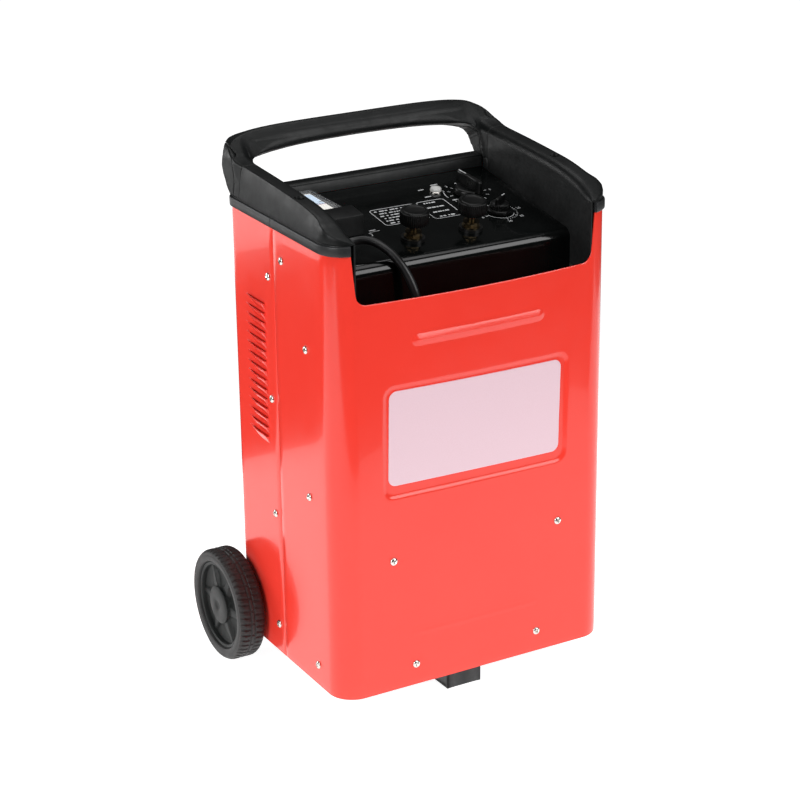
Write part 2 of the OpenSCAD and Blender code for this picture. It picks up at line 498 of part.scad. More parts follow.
// ---- battery clamp in the pocket ----
clamp_x = 78;
clamp_z = 182.9;
module clamp_profile() {
  polygon([[50, -28], [58, -21.5], [69, -11], [69.5, -3], [73, 6], [78, 9], [84, 7], [92, -3], [133, -0.6], [133, -9], [118, -17], [100, -17], [80, -16], [62, -26], [52, -36]]);
}
module clamp_arm(y) {
  difference() {
    union() {
      for (q = [-y, y - 1.5]) xz(q, q + 1.5) clamp_profile();
      xz(-y, y) polygon([[100, -17], [118, -17], [133, -9], [133, -0.6], [131.6, -0.7], [131.6, -8.2], [117.6, -15.5], [100, -15.5]]);
    }
    translate([clamp_x, -20, 0]) rotate([-90, 0, 0]) cylinder(h = 40, d = 5.1, $fn = 48);
  }
}
module clamp_place() { translate([0, -92, clamp_z]) children(); }
module clamp_lower_arm() { color([0.8, 0.5, 0.3]) place() clamp_place() clamp_arm(11.8); }
module clamp_upper_arm() { color([0.8, 0.5, 0.3]) place() clamp_place() mirror([0, 0, 1]) clamp_arm(9.8); }
module grip() {
  xz(-9, 9) polygon([[-2, -40.3], [20, -40.3], [42, -36.5], [60, -26], [55, -16], [40, -25.5], [20, -28], [-2, -28]]);
}
module clamp_grips() { color(black) place() clamp_place() difference() { grip(); translate([-3, 0, -32.1]) rotate([0, 90, 0]) cylinder(h = 2.2, d = lead_d, $fn = 32); } }
module clamp_upper_grip() { color(black) place() clamp_place() mirror([0, 0, 1]) grip(); }
module clamp_pin_and_spring() {
  color(steel) place() clamp_place() translate([clamp_x, 0, 0]) rotate([90, 0, 0]) {
    cylinder(h = 27, d = 5, center = true, $fn = 48);
    for (q = [-13.1, 12]) translate([0, 0, q]) cylinder(h = 1.1, d = 8.5, $fn = 32);
    difference() { cylinder(h = 13, d = 15, center = true, $fn = 48); cylinder(h = 14, d = 9, center = true, $fn = 48); }
  }
}

// ---- inside: transformer on the base tray ----
tz = 8;
module transformer_core() {
  color([0.35, 0.33, 0.32]) place() difference() {
    translate([-80, -15, tz]) cube([160, 70, 134]);
    for (s = [-1, 1]) translate([s * 40.5 - 13.5, -16, tz + 27]) cube([27, 72, 80]);
    for (x = [-70, 70]) for (z = [tz + 10, tz + 124]) translate([x, -16, z]) rotate([-90, 0, 0]) cylinder(h = 72, d = 7, $fn = 32);
  }
}
module winding(z0, h) {
  translate([0, 20, z0]) difference() {
    linear_extrude(h) polygon(concat(arc(-32, -40, 20, 180, 270, 6), arc(32, -40, 20, 270, 360, 6), arc(32, 40, 20, 0, 90, 6), arc(-32, 40, 20, 90, 180, 6)));
    translate([-27.2, -35.2, -1]) cube([54.4, 70.4, h + 2]);
  }
}
module primary_winding() { color([0.7, 0.38, 0.2]) place() winding(tz + 27.5, 38.5); }
module secondary_winding() { color([0.75, 0.42, 0.22]) place() winding(tz + 68, 38.5); }
module transformer_brackets() {
  color(steel) place() for (s = [-1, 1]) {
    y0 = s > 0 ? 55 : -18;
    difference() {
      union() {
        translate([-80, y0, tz]) cube([160, 3, 22]);
        translate([-80, y0, tz + 114]) cube([160, 3, 20]);
        translate([-80, s > 0 ? 55 : -37, 1.5]) cube([160, 22, 2.5]);
        translate([-80, y0, 1.5]) cube([160, 3, tz]);
      }
      for (x = [-70, 70]) for (z = [tz + 10, tz + 124]) translate([x, -40, z]) rotate([-90, 0, 0]) cylinder(h = 120, d = 7, $fn = 32);
    }
  }
}
module rectifier_plates() {
  color([0.8, 0.8, 0.82]) place() for (x = [-115, 15]) {
    difference() {
      translate([x, -60, 230]) cube([100, 3, 100]);
      for (dx = [28, 72]) translate([x + dx, -61, 280]) rotate([-90, 0, 0]) cylinder(h = 6, d = 12.8, $fn = 48);
    }
    for (dx = [10, 90]) for (z = [240, 320]) translate([x + dx, -72.7, z]) rotate([-90, 0, 0]) cylinder(h = 12.7, d = 8, $fn = 32);
  }
}
module rectifier_diodes() {
  color(steel) place() for (x = [-115, 15]) for (dx = [28, 72]) translate([x + dx, -60, 280]) rotate([-90, 0, 0]) {
    cylinder(h = 3, d = 12.8, $fn = 48);
    translate([0, 0, 3]) cylinder(h = 7, d = 11.5, $fn = 48);
    translate([0, 0, 10]) cylinder(h = 6, d = 2, $fn = 24);
  }
}
module strip_fuse() {
  color([0.85, 0.83, 0.78]) place() {
    difference() { translate([-30, -72.7, 180]) cube([60, 14, 20]); translate([-18, -62.7, 179]) cube([36, 5, 22]); }
    translate([-28, -58.7, 186]) cube([56, 1, 8]);
    for (x = [-24, 24]) translate([x, -57.7, 190]) rotate([-90, 0, 0]) cylinder(h = 4, d = 9, $fn = 6);
  }
}
module internal_wiring() {
  color([0.1, 0.1, 0.3]) place() {
    tube(smooth([[-20, -22, 114.8], [-22, -24, 150], [-25, -30, 210], [-50, -38, 252], [-66, -42, 270], [-66, -46, 296], [-64, -53, 306]], 2), 6, 8);
    tube(smooth([[20, -22, 114.8], [22, -24, 150], [25, -30, 210], [48, -38, 252], [64, -42, 270], [64, -46, 296], [66, -53, 306]], 2), 6, 8);
    tube(smooth([[26, -50, 190], [50, -46, 205], [110, -46, 240], [122, -42, 320], [100, -38, 400], [61, -36, 427], [43, -34, 432.2]], 2), 6, 8);
    tube(smooth([[-149, -47, 475], [-155, -46, 468], [-156, -45, 440], [-150, -44, 380], [-135, -44, 330], [-118, -49, 318], [-106, -53, 312]], 2), 6, 8);
  }
}

// ---- fasteners ----
module pan_screw(len) {
  // head outward along +Z, shank inward
  difference() {
    union() { cylinder(h = 1.4, d = 8.5, $fn = 32); translate([0, 0, 1.4]) cylinder(h = 1.2, d1 = 8.5, d2 = 5.6, $fn = 32); translate([0, 0, -len]) cylinder(h = len, d = 3.9, $fn = 24); }
    for (a = [0, 90]) rotate(a) translate([-2.4, -0.5, 0.9]) cube([4.8, 1, 3]);
  }
}
module case_screws() {
  color(steel) place() {
    for (h = front_holes) translate([h[0], face_y(h[0], h[1], 0) - 0.02, h[1]]) rotate([90, 0, 0]) pan_screw(5);
    for (s = [-1, 1]) for (h = concat(side_front, side_rear)) translate([s * (hw + 0.01), h[0], h[1]]) rotate([0, s * 90, 0]) pan_screw(5);
    for (s = [-1, 1]) translate([s * 152, -25, 510]) cylinder(h = 3, d = 8.6, $fn = 32);
  }
}
module inner_bolts() {
  color(steel) place() {
    for (x = [-70, 70]) for (z = [tz + 10, tz + 124]) translate([x, -23, z]) rotate([-90, 0, 0]) {
      cylinder(h = 86, d = 7, $fn = 32);
      cylinder(h = 5, d = 13, $fn = 6);
      translate([0, 0, 81]) cylinder(h = 5, d = 13, $fn = 6);
    }
    for (x = [-10, 10]) translate([x, -66, -8]) { cylinder(h = 5.8, d = 11, $fn = 6); }
  }
}

front_shell();
rear_shell();
name_plate();
base_tray();
front_foot();
corner_rails();
pocket_liner();
control_panel();
front_rim();
rear_rim();
left_cheek();
right_cheek();
handle_front_half();
handle_rear_half();
rear_rail();
axle();
axle_brackets();
axle_spacers();
left_tyre();
right_tyre();
left_hub();
right_hub();
left_hub_cap();
right_hub_cap();
ammeter_body();
ammeter_cover();
ammeter_scale();
ammeter_needle();
ammeter_movement();
pilot_lamp_body();
pilot_lamp_lens();
selector_knob();
selector_switch();
timer_knob();
timer_body();
left_terminal_knob();
right_terminal_knob();
left_terminal_washer();
right_terminal_washer();
terminal_studs();
terminal_collars();
terminal_nuts();
lead_glands();
charging_lead();
lead_coil();
clamp_lower_arm();
clamp_upper_arm();
clamp_grips();
clamp_upper_grip();
clamp_pin_and_spring();
transformer_core();
primary_winding();
secondary_winding();
transformer_brackets();
rectifier_plates();
rectifier_diodes();
strip_fuse();
internal_wiring();
case_screws();
inner_bolts();
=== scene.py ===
import bpy, bmesh, json, math
import numpy as np
from mathutils import Matrix, Vector

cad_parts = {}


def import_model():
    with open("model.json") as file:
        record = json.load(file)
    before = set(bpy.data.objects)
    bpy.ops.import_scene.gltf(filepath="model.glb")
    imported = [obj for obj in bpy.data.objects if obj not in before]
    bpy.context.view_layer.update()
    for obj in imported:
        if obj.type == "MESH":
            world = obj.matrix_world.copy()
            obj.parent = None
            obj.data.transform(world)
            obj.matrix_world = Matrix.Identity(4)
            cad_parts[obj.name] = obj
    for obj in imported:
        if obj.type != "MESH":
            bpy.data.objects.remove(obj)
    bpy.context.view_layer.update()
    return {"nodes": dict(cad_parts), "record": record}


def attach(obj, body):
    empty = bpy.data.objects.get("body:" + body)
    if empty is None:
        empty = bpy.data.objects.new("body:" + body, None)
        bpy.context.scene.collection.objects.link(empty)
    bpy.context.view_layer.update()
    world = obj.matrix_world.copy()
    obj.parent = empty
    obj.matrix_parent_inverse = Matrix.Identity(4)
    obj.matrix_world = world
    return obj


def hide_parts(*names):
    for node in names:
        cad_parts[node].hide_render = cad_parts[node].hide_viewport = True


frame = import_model()
scene = bpy.context.scene
scene.view_settings.view_transform = "Standard"
scene.view_settings.look = "None"

# ---------------------------------------------------------------- frame helpers
# Lengths below are millimetres in the cabinet's own frame: x from its middle, y from
# the middle of the body, z from the sheet's bottom edge. F() puts them in the row frame.
SY, SZ, HW = -24.35, 33.0, 164.0
TILT = math.radians(8.6)
CT, ST = math.cos(TILT), math.sin(TILT)


def F(p):
    return (p[0] / 1000.0, (p[1] + SY) / 1000.0, (p[2] + SZ) / 1000.0)


def pz(y):
    return 468.3 + math.tan(TILT) * y


def pan(x, y):
    """Maps a point on the panel's own axes (z along its normal) to the cabinet frame."""
    def f(p):
        return (x + p[0], y + p[1] * CT - p[2] * ST, pz(y) + p[1] * ST + p[2] * CT)
    return f


def smoothstep(t):
    t = min(max(t, 0.0), 1.0)
    return t * t * (3 - 2 * t)


# ---------------------------------------------------------------- camera first
def camera():
    az, el, roll = math.radians(-29.3288), math.radians(21.1762), math.radians(-0.7376)
    back = Vector((math.sin(az) * math.cos(el), -math.cos(az) * math.cos(el), math.sin(el)))
    right = Vector((math.cos(az), math.sin(az), 0.0))
    up = back.cross(right)
    c, s = math.cos(roll), math.sin(roll)
    r2, u2 = right * c + up * s, up * c - right * s
    m = Matrix.Identity(4)
    for i in range(3):
        m[i][0], m[i][1], m[i][2] = r2[i], u2[i], back[i]
    m[0][3], m[1][3], m[2][3] = -1.159173, -2.041951, 1.203562
    data = bpy.data.cameras.new("camera")
    data.sensor_fit = "HORIZONTAL"
    data.sensor_width = 36.0
    data.lens = 104.955
    data.clip_start, data.clip_end = 0.05, 50
    cam = bpy.data.objects.new("camera", data)
    scene.collection.objects.link(cam)
    cam.matrix_world = m
    scene.camera = cam


camera()


# ---------------------------------------------------------------- materials
def material(name, color, rough=0.4, metallic=0.0, spec=0.5, coat=0.0, coat_rough=0.03, color2=None, color_scale=30.0,
             rough_var=0.0, rough_scale=60.0, bump=(), transmission=0.0, ior=1.5, wear=None, emission=None, aniso=0.0,
             dust=None, stretch=None, alpha=1.0):
    """Principled finish with procedural colour, roughness and relief. bump is (scale, depth in mm, kind) items."""
    m = bpy.data.materials.new(name)
    m.use_nodes = True
    nt = m.node_tree
    for n in list(nt.nodes):
        nt.nodes.remove(n)
    out = nt.nodes.new("ShaderNodeOutputMaterial")
    b = nt.nodes.new("ShaderNodeBsdfPrincipled")
    nt.links.new(b.outputs[0], out.inputs[0])
    b.inputs["Base Color"].default_value = (*color, 1)
    b.inputs["Roughness"].default_value = rough
    b.inputs["Metallic"].default_value = metallic
    b.inputs["Specular IOR Level"].default_value = spec
    b.inputs["IOR"].default_value = ior
    b.inputs["Coat Weight"].default_value = coat
    b.inputs["Coat Roughness"].default_value = coat_rough
    b.inputs["Transmission Weight"].default_value = transmission
    b.inputs["Alpha"].default_value = alpha
    if aniso:
        b.inputs["Anisotropic"].default_value = aniso
    if emission:
        b.inputs["Emission Color"].default_value = (*emission[:3], 1)
        b.inputs["Emission Strength"].default_value = emission[3]
    tc = nt.nodes.new("ShaderNodeTexCoord")
    src = tc.outputs["Object"]
    if stretch:
        mp = nt.nodes.new("ShaderNodeMapping")
        mp.inputs["Scale"].default_value = stretch
        nt.links.new(src, mp.inputs["Vector"])
        stretched = mp.outputs[0]
    else:
        stretched = src

    def noise(scale, detail=3.0, vec=None, rough_=0.5):
        n = nt.nodes.new("ShaderNodeTexNoise")
        n.inputs["Scale"].default_value = scale
        n.inputs["Detail"].default_value = detail
        n.inputs["Roughness"].default_value = rough_
        nt.links.new(vec or src, n.inputs["Vector"])
        return n.outputs["Fac"]

    def ramp(fac, a, b_, pos=(0.3, 0.7)):
        r = nt.nodes.new("ShaderNodeValToRGB")
        r.color_ramp.elements[0].position, r.color_ramp.elements[1].position = pos
        r.color_ramp.elements[0].color = (*a, 1)
        r.color_ramp.elements[1].color = (*b_, 1)
        nt.links.new(fac, r.inputs[0])
        return r.outputs["Color"]

    col = None
    if color2:
        col = ramp(noise(color_scale, vec=stretched), color, color2)
    if wear:
        # lighter rubbed edges: wear is (colour, strength)
        g = nt.nodes.new("ShaderNodeNewGeometry")
        mr = nt.nodes.new("ShaderNodeMapRange")
        mr.inputs["From Min"].default_value, mr.inputs["From Max"].default_value = 0.52, 0.60
        mr.inputs["To Min"].default_value, mr.inputs["To Max"].default_value = 0.0, wear[1]
        nt.links.new(g.outputs["Pointiness"], mr.inputs["Value"])
        mul = nt.nodes.new("ShaderNodeMath")
        mul.operation = "MULTIPLY"
        nt.links.new(mr.outputs[0], mul.inputs[0])
        nt.links.new(noise(220.0), mul.inputs[1])
        mix = nt.nodes.new("ShaderNodeMix")
        mix.data_type = "RGBA"
        nt.links.new(mul.outputs[0], mix.inputs["Factor"])
        if col is None:
            mix.inputs[6].default_value = (*color, 1)
        else:
            nt.links.new(col, mix.inputs[6])
        mix.inputs[7].default_value = (*wear[0], 1)
        col = mix.outputs[2]
    if dust:
        # a thin layer of dust on what faces up: dust is (colour, strength)
        g = nt.nodes.new("ShaderNodeNewGeometry")
        sep = nt.nodes.new("ShaderNodeSeparateXYZ")
        nt.links.new(g.outputs["Normal"], sep.inputs[0])
        mr = nt.nodes.new("ShaderNodeMapRange")
        mr.inputs["From Min"].default_value, mr.inputs["From Max"].default_value = 0.35, 1.0
        mr.inputs["To Min"].default_value, mr.inputs["To Max"].default_value = 0.0, dust[1]
        nt.links.new(sep.outputs["Z"], mr.inputs["Value"])
        mul = nt.nodes.new("ShaderNodeMath")
        mul.operation = "MULTIPLY"
        nt.links.new(mr.outputs[0], mul.inputs[0])
        nt.links.new(noise(35.0, 5.0), mul.inputs[1])
        mix = nt.nodes.new("ShaderNodeMix")
        mix.data_type = "RGBA"
        nt.links.new(mul.outputs[0], mix.inputs["Factor"])
        if col is None:
            mix.inputs[6].default_value = (*color, 1)
        else:
            nt.links.new(col, mix.inputs[6])
        mix.inputs[7].default_value = (*dust[0], 1)
        col = mix.outputs[2]
    if col is not None:
        nt.links.new(col, b.inputs["Base Color"])
    if rough_var:
        mr = nt.nodes.new("ShaderNodeMapRange")
        mr.inputs["From Min"].default_value, mr.inputs["From Max"].default_value = 0.3, 0.7
        mr.inputs["To Min"].default_value = max(rough - rough_var, 0.02)
        mr.inputs["To Max"].default_value = rough + rough_var
        nt.links.new(noise(rough_scale, 4.0, stretched), mr.inputs["Value"])
        nt.links.new(mr.outputs[0], b.inputs["Roughness"])
    prev = None
    for scale, depth, kind in bump:
        bp = nt.nodes.new("ShaderNodeBump")
        bp.inputs["Strength"].default_value = 1.0
        bp.inputs["Distance"].default_value = depth / 1000.0
        if kind == "grain":
            v = nt.nodes.new("ShaderNodeTexVoronoi")
            v.feature = "SMOOTH_F1"
            v.inputs["Scale"].default_value = scale
            nt.links.new(src, v.inputs["Vector"])
            h = v.outputs["Distance"]
        elif kind == "brushed":
            h = noise(scale, 4.0, stretched)
        elif kind == "wave":
            w = nt.nodes.new("ShaderNodeTexWave")
            w.inputs["Scale"].default_value = scale
            nt.links.new(src, w.inputs["Vector"])
            h = w.outputs["Fac"]
        else:
            h = noise(scale, 2.0)
        nt.links.new(h, bp.inputs["Height"])
        if prev is not None:
            nt.links.new(prev, bp.inputs["Normal"])
        prev = bp.outputs[0]
    if prev is not None:
        nt.links.new(prev, b.inputs["Normal"])
    return m


M = {}
M["red"] = material("red_enamel", (0.97, 0.053, 0.034), rough=0.18, spec=0.37, coat=0.26, coat_rough=0.03, color2=(0.94, 0.049, 0.031),
                    color_scale=9, rough_var=0.03, rough_scale=40, bump=((260, 0.012, "noise"), (38, 0.03, "noise")),
                    wear=((0.95, 0.12, 0.09), 0.2))
M["plate"] = material("plate_print", (0.85, 0.62, 0.69), rough=0.34, spec=0.5, color2=(0.83, 0.595, 0.66), color_scale=900, rough_var=0.05,
                      rough_scale=500, bump=((1800, 0.006, "noise"),))
M["black_steel"] = material("black_steel", (0.012, 0.012, 0.013), rough=0.38, spec=0.4, color2=(0.018, 0.018, 0.019), color_scale=120, rough_var=0.08,
                            bump=((900, 0.02, "noise"),), wear=((0.18, 0.18, 0.18), 0.3))
M["zinc"] = material("zinc_steel", (0.55, 0.56, 0.58), rough=0.32, metallic=1.0, color2=(0.44, 0.45, 0.48), color_scale=160, rough_var=0.1,
                     rough_scale=220, bump=((1400, 0.01, "noise"),))
M["gloss"] = material("panel_gloss", (0.0013, 0.0019, 0.0018), rough=0.14, spec=0.36, coat=0.13, coat_rough=0.04, color2=(0.0021, 0.0028, 0.0027),
                      color_scale=45, rough_var=0.03, bump=((420, 0.006, "noise"),), dust=((0.10, 0.10, 0.10), 0.005))
M["trim"] = material("trim_semi_gloss", (0.011, 0.012, 0.0125), rough=0.38, spec=0.45, color2=(0.015, 0.016, 0.0165), color_scale=70, rough_var=0.06,
                     bump=((1500, 0.02, "noise"),), wear=((0.12, 0.12, 0.13), 0.35))
M["moulding"] = material("moulding_spark_texture", (0.0036, 0.0043, 0.0044), rough=0.43, spec=0.245, color2=(0.0054, 0.0061, 0.0062), color_scale=55,
                         rough_var=0.07, rough_scale=90, bump=((1250, 0.035, "grain"), (2600, 0.015, "noise")), wear=((0.06, 0.06, 0.06), 0.3),
                         dust=((0.10, 0.10, 0.095), 0.008))
M["rubber"] = material("tyre_rubber", (0.0115, 0.011, 0.011), rough=0.50, spec=0.40, color2=(0.022, 0.0215, 0.0215), color_scale=60, rough_var=0.08,
                       bump=((700, 0.04, "noise"), (2400, 0.02, "noise")), wear=((0.14, 0.14, 0.138), 0.5), dust=((0.2, 0.19, 0.18), 0.03))
M["hub"] = material("hub_plastic", (0.009, 0.0105, 0.010), rough=0.46, spec=0.26, color2=(0.019, 0.0205, 0.020), color_scale=50, rough_var=0.06,
                    bump=((900, 0.03, "grain"),), wear=((0.12, 0.125, 0.125), 0.35))
M["knob"] = material("knob_plastic", (0.0022, 0.0024, 0.0024), rough=0.30, spec=0.24, color2=(0.0034, 0.0036, 0.0036), color_scale=90, rough_var=0.06,
                     bump=((1600, 0.012, "noise"),), wear=((0.05, 0.05, 0.05), 0.2))
M["meter"] = material("meter_case", (0.0022, 0.0027, 0.0028), rough=0.42, spec=0.16, color2=(0.0034, 0.0039, 0.0040), color_scale=90, rough_var=0.06,
                      bump=((1500, 0.02, "grain"),), wear=((0.08, 0.08, 0.08), 0.3))
M["clear"] = material("clear_cover", (0.84, 0.86, 0.89), rough=0.07, spec=0.5, alpha=0.10, color2=(0.88, 0.89, 0.90), color_scale=60,
                      rough_var=0.02, rough_scale=200)
# painted light: the scale print and its blue band glow through emission, standing in for light on a plate that sits in
# the shade of the meter case; the scale is no lamp
M["scale"] = material("scale_print_painted_glow", (0.93, 0.91, 0.86), rough=0.5, emission=(1.0, 0.96, 0.88, 0.42), color2=(0.88, 0.86, 0.83), color_scale=300, rough_var=0.05,
                      bump=((1500, 0.005, "noise"),))
M["blue"] = material("scale_blue_painted_glow", (0.62, 0.78, 0.98), rough=0.5, emission=(0.72, 0.86, 1.0, 0.42), color2=(0.64, 0.78, 0.96), color_scale=200, rough_var=0.05)
M["pink"] = material("scale_pink", (0.75, 0.45, 0.60), rough=0.5, color2=(0.70, 0.40, 0.56), color_scale=200, rough_var=0.05)
M["ink"] = material("panel_print_white", (0.72, 0.73, 0.74), rough=0.4, color2=(0.60, 0.61, 0.62), color_scale=1500, rough_var=0.05)
M["inkblack"] = material("print_black", (0.02, 0.02, 0.02), rough=0.45, color2=(0.03, 0.03, 0.03), color_scale=600, rough_var=0.05)
M["lens"] = material("lamp_lens", (0.92, 0.92, 0.90), rough=0.12, spec=0.5, transmission=0.35, ior=1.49, color2=(0.85, 0.85, 0.84), color_scale=300,
                     rough_var=0.04, bump=((500, 0.02, "noise"),))
M["bakelite"] = material("bakelite", (0.12, 0.07, 0.04), rough=0.35, color2=(0.16, 0.10, 0.06), color_scale=200, rough_var=0.06,
                         bump=((700, 0.02, "noise"),))
M["nickel"] = material("nickel_plated", (0.78, 0.75, 0.70), rough=0.16, metallic=1.0, color2=(0.68, 0.65, 0.61), color_scale=500, rough_var=0.06,
                       rough_scale=500, bump=((1600, 0.006, "noise"),), wear=((0.9, 0.88, 0.84), 0.3))
M["brass"] = material("brass_machined", (0.72, 0.52, 0.22), rough=0.24, metallic=1.0, color2=(0.62, 0.43, 0.17), color_scale=300, rough_var=0.07,
                      bump=((1200, 0.01, "noise"),), wear=((0.88, 0.72, 0.42), 0.3))
M["nut"] = material("nut_tarnished", (0.034, 0.026, 0.015), rough=0.34, metallic=1.0, color2=(0.060, 0.045, 0.025), color_scale=300, rough_var=0.07,
                    bump=((1200, 0.01, "noise"),), wear=((0.42, 0.32, 0.17), 0.25))
M["cable"] = material("cable_sheath", (0.008, 0.008, 0.0085), rough=0.36, spec=0.45, color2=(0.012, 0.012, 0.0125), color_scale=90, rough_var=0.07,
                      bump=((700, 0.025, "noise"), (90, 0.05, "noise")))
M["copper_plate"] = material("clamp_copper", (0.70, 0.36, 0.20), rough=0.3, metallic=1.0, color2=(0.55, 0.27, 0.15), color_scale=140, rough_var=0.1,
                             bump=((1200, 0.015, "noise"),), wear=((0.85, 0.6, 0.45), 0.4))
M["vinyl"] = material("grip_vinyl", (0.014, 0.014, 0.014), rough=0.34, color2=(0.020, 0.020, 0.020), color_scale=80, rough_var=0.06,
                      bump=((500, 0.03, "noise"),))
M["core"] = material("varnished_core", (0.07, 0.055, 0.045), rough=0.42, metallic=0.3, color2=(0.12, 0.10, 0.085), color_scale=90, rough_var=0.1,
                     bump=((300, 0.06, "wave"), (900, 0.02, "noise")), stretch=(1, 300, 1))
M["winding"] = material("enamelled_winding", (0.42, 0.17, 0.07), rough=0.3, metallic=0.6, color2=(0.52, 0.24, 0.10), color_scale=120, rough_var=0.1,
                        bump=((110, 0.25, "wave"),))
M["alu"] = material("mill_aluminium", (0.72, 0.72, 0.74), rough=0.35, metallic=1.0, color2=(0.62, 0.62, 0.65), color_scale=100, rough_var=0.1,
                    bump=((900, 0.012, "brushed"),), stretch=(1, 1, 12))

CAD_FINISH = {"corner_rails": "zinc", "pocket_liner": "black_steel", "base_tray": "black_steel", "axle": "zinc", "axle_brackets": "black_steel",
              "axle_spacers": "zinc", "ammeter_movement": "zinc", "selector_switch": "bakelite", "timer_body": "zinc", "transformer_core": "core",
              "primary_winding": "winding", "secondary_winding": "winding", "transformer_brackets": "zinc", "rectifier_plates": "alu",
              "rectifier_diodes": "zinc", "strip_fuse": "bakelite", "internal_wiring": "cable", "inner_bolts": "zinc", "terminal_studs": "nut",
              "terminal_nuts": "nut", "terminal_collars": "knob", "left_terminal_washer": "nickel", "right_terminal_washer": "nickel",
              "clamp_pin_and_spring": "zinc", "pilot_lamp_body": "knob", "front_foot": "black_steel", "ammeter_scale": "scale", "lead_glands": "moulding"}


# ---------------------------------------------------------------- mesh helpers
BODY_OF = {}
for _b, _names in frame["record"]["behaviour"]["bodies"].items():
    for _n in _names:
        BODY_OF[_n] = _b


def finish_object(name, bm, mat, body, smooth=35, replaces=(), bevel=None):
    """bevel is (width in mm, segments, least angle in degrees)."""
    bmesh.ops.remove_doubles(bm, verts=bm.verts, dist=1e-6)
    bmesh.ops.recalc_face_normals(bm, faces=bm.faces)
    if bevel:
        edges = [e for e in bm.edges if len(e.link_faces) == 2 and e.calc_face_angle(0.0) > math.radians(bevel[2])]
        bmesh.ops.bevel(bm, geom=edges, offset=bevel[0] / 1000.0, segments=bevel[1], profile=0.5, affect="EDGES", clamp_overlap=True)
    me = bpy.data.meshes.new(name)
    bm.to_mesh(me)
    bm.free()
    me.shade_smooth()
    me.set_sharp_from_angle(angle=math.radians(smooth))
    o = bpy.data.objects.new(name, me)
    scene.collection.objects.link(o)
    for m_ in (mat if isinstance(mat, (list, tuple)) else [mat]):
        me.materials.append(M[m_])
    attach(o, body)
    if replaces:
        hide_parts(*replaces)
    return o


def add_verts(bm, pts, f=None):
    return [bm.verts.new(F(f(p) if f else p)) for p in pts]


def loft(bm, sections, closed=True, caps=True, loop=False, f=None, mat=0):
    """Skins a list of point rings. closed joins each ring's ends; loop joins last ring to first."""
    rings = [add_verts(bm, s, f) for s in sections]
    n = len(rings[0])
    faces = []
    for k in range(len(rings) - (0 if loop else 1)):
        a, b = rings[k], rings[(k + 1) % len(rings)]
        for i in range(n if closed else n - 1):
            j = (i + 1) % n
            vs = [a[i], a[j], b[j], b[i]]
            if len({tuple(round(c, 9) for c in v.co) for v in vs}) < 3:
                continue
            try:
                fc = bm.faces.new(vs)
                fc.material_index = mat
                faces.append(fc)
            except ValueError:
                pass
    if caps and closed and not loop:
        for ring in (rings[0][::-1], rings[-1]):
            try:
                fc = bm.faces.new(ring)
                fc.material_index = mat
            except ValueError:
                pass
    return rings


def lathe(bm, profile, n, f, start=0.0, mat=0):
    """Turns (r, z) points about the local z axis and maps them with f."""
    secs = []
    for i in range(n):
        a = 2 * math.pi * i / n + start
        secs.append([(r * math.cos(a), r * math.sin(a), z) for r, z in profile])
    rings = [add_verts(bm, s, f) for s in secs]
    m = len(profile)
    for k in range(n):
        a, b = rings[k], rings[(k + 1) % n]
        for i in range(m - 1):
            if profile[i][0] < 1e-6 and profile[i + 1][0] < 1e-6:
                continue
            if profile[i][0] < 1e-6:
                vs = [a[i], a[i + 1], b[i + 1]]
            elif profile[i + 1][0] < 1e-6:
                vs = [a[i], a[i + 1], b[i]]
            else:
                vs = [a[i], a[i + 1], b[i + 1], b[i]]
            fc = bm.faces.new(vs)
            fc.material_index = mat
    return rings


def prism(bm, outline, z0, z1, f, mat=0):
    """Straight prism of an outline [(x, y)] between two local heights."""
    return loft(bm, [[(x, y, z0) for x, y in outline], [(x, y, z1) for x, y in outline]], f=f, mat=mat)


def rrect(w, h, r, n=6, cx=0.0, cy=0.0, rot=0.0):
    """Rounded rectangle outline, w by h, corner radius r."""
    pts = []
    for sx, sy, a0 in ((1, 1, 0), (-1, 1, 90), (-1, -1, 180), (1, -1, 270)):
        for i in range(n + 1):
            a = math.radians(a0 + 90 * i / n)
            pts.append((sx * (w / 2 - r) + r * math.cos(a), sy * (h / 2 - r) + r * math.sin(a)))
    c, s = math.cos(math.radians(rot)), math.sin(math.radians(rot))
    return [(cx + x * c - y * s, cy + x * s + y * c) for x, y in pts]


def densify(outline, step):
    """Adds points along the straight runs of a closed outline."""
    out = []
    for i, a in enumerate(outline):
        b = outline[(i + 1) % len(outline)]
        k = max(1, int(math.hypot(b[0] - a[0], b[1] - a[1]) / step))
        out += [(a[0] + (b[0] - a[0]) * j / k, a[1] + (b[1] - a[1]) * j / k) for j in range(k)]
    return out


def catmull(pts, per):
    out = []
    for i in range(len(pts) - 1):
        a, b, c, d = pts[max(i - 1, 0)], pts[i], pts[i + 1], pts[min(i + 2, len(pts) - 1)]
        for k in range(per):
            t = k / per
            out.append(tuple(0.5 * (2 * q + t * (r - p) + t * t * (2 * p - 5 * q + 4 * r - s) + t ** 3 * (3 * q - 3 * r + s - p))
                             for p, q, r, s in zip(a, b, c, d)))
    out.append(tuple(pts[-1]))
    return out


def interp(table, t):
    xs = [p[0] for p in table]
    return float(np.interp(t, xs, [p[1] for p in table]))


# ---------------------------------------------------------------- the charging lead
ROUTE_IN = [(-110, -47, 475), (-104, -47.4, 475.4), (-98, -49.5, 476.3), (-92, -54, 476.6), (-86, -60.5, 475), (-80, -68, 470.6),
            (-74, -76, 463.6), (-68.5, -83, 454.2), (-64, -88.5, 443.5), (-60.5, -92.5, 432), (-58, -95, 419), (-57.4, -97, 400),
            (-61, -98.5, 375), (-72, -100, 343), (-89, -100.8, 308), (-106, -101.2, 276), (-119, -101.3, 247), (-127.5, -101.3, 222),
            (-130, -101.3, 201)]
ROUTE_OUT = [(-76, -92, 147), (-62, -92, 147), (-46, -92, 147.2), (-28, -92, 148.6), (-12, -92, 150.4), (-1, -92, 150.8)]


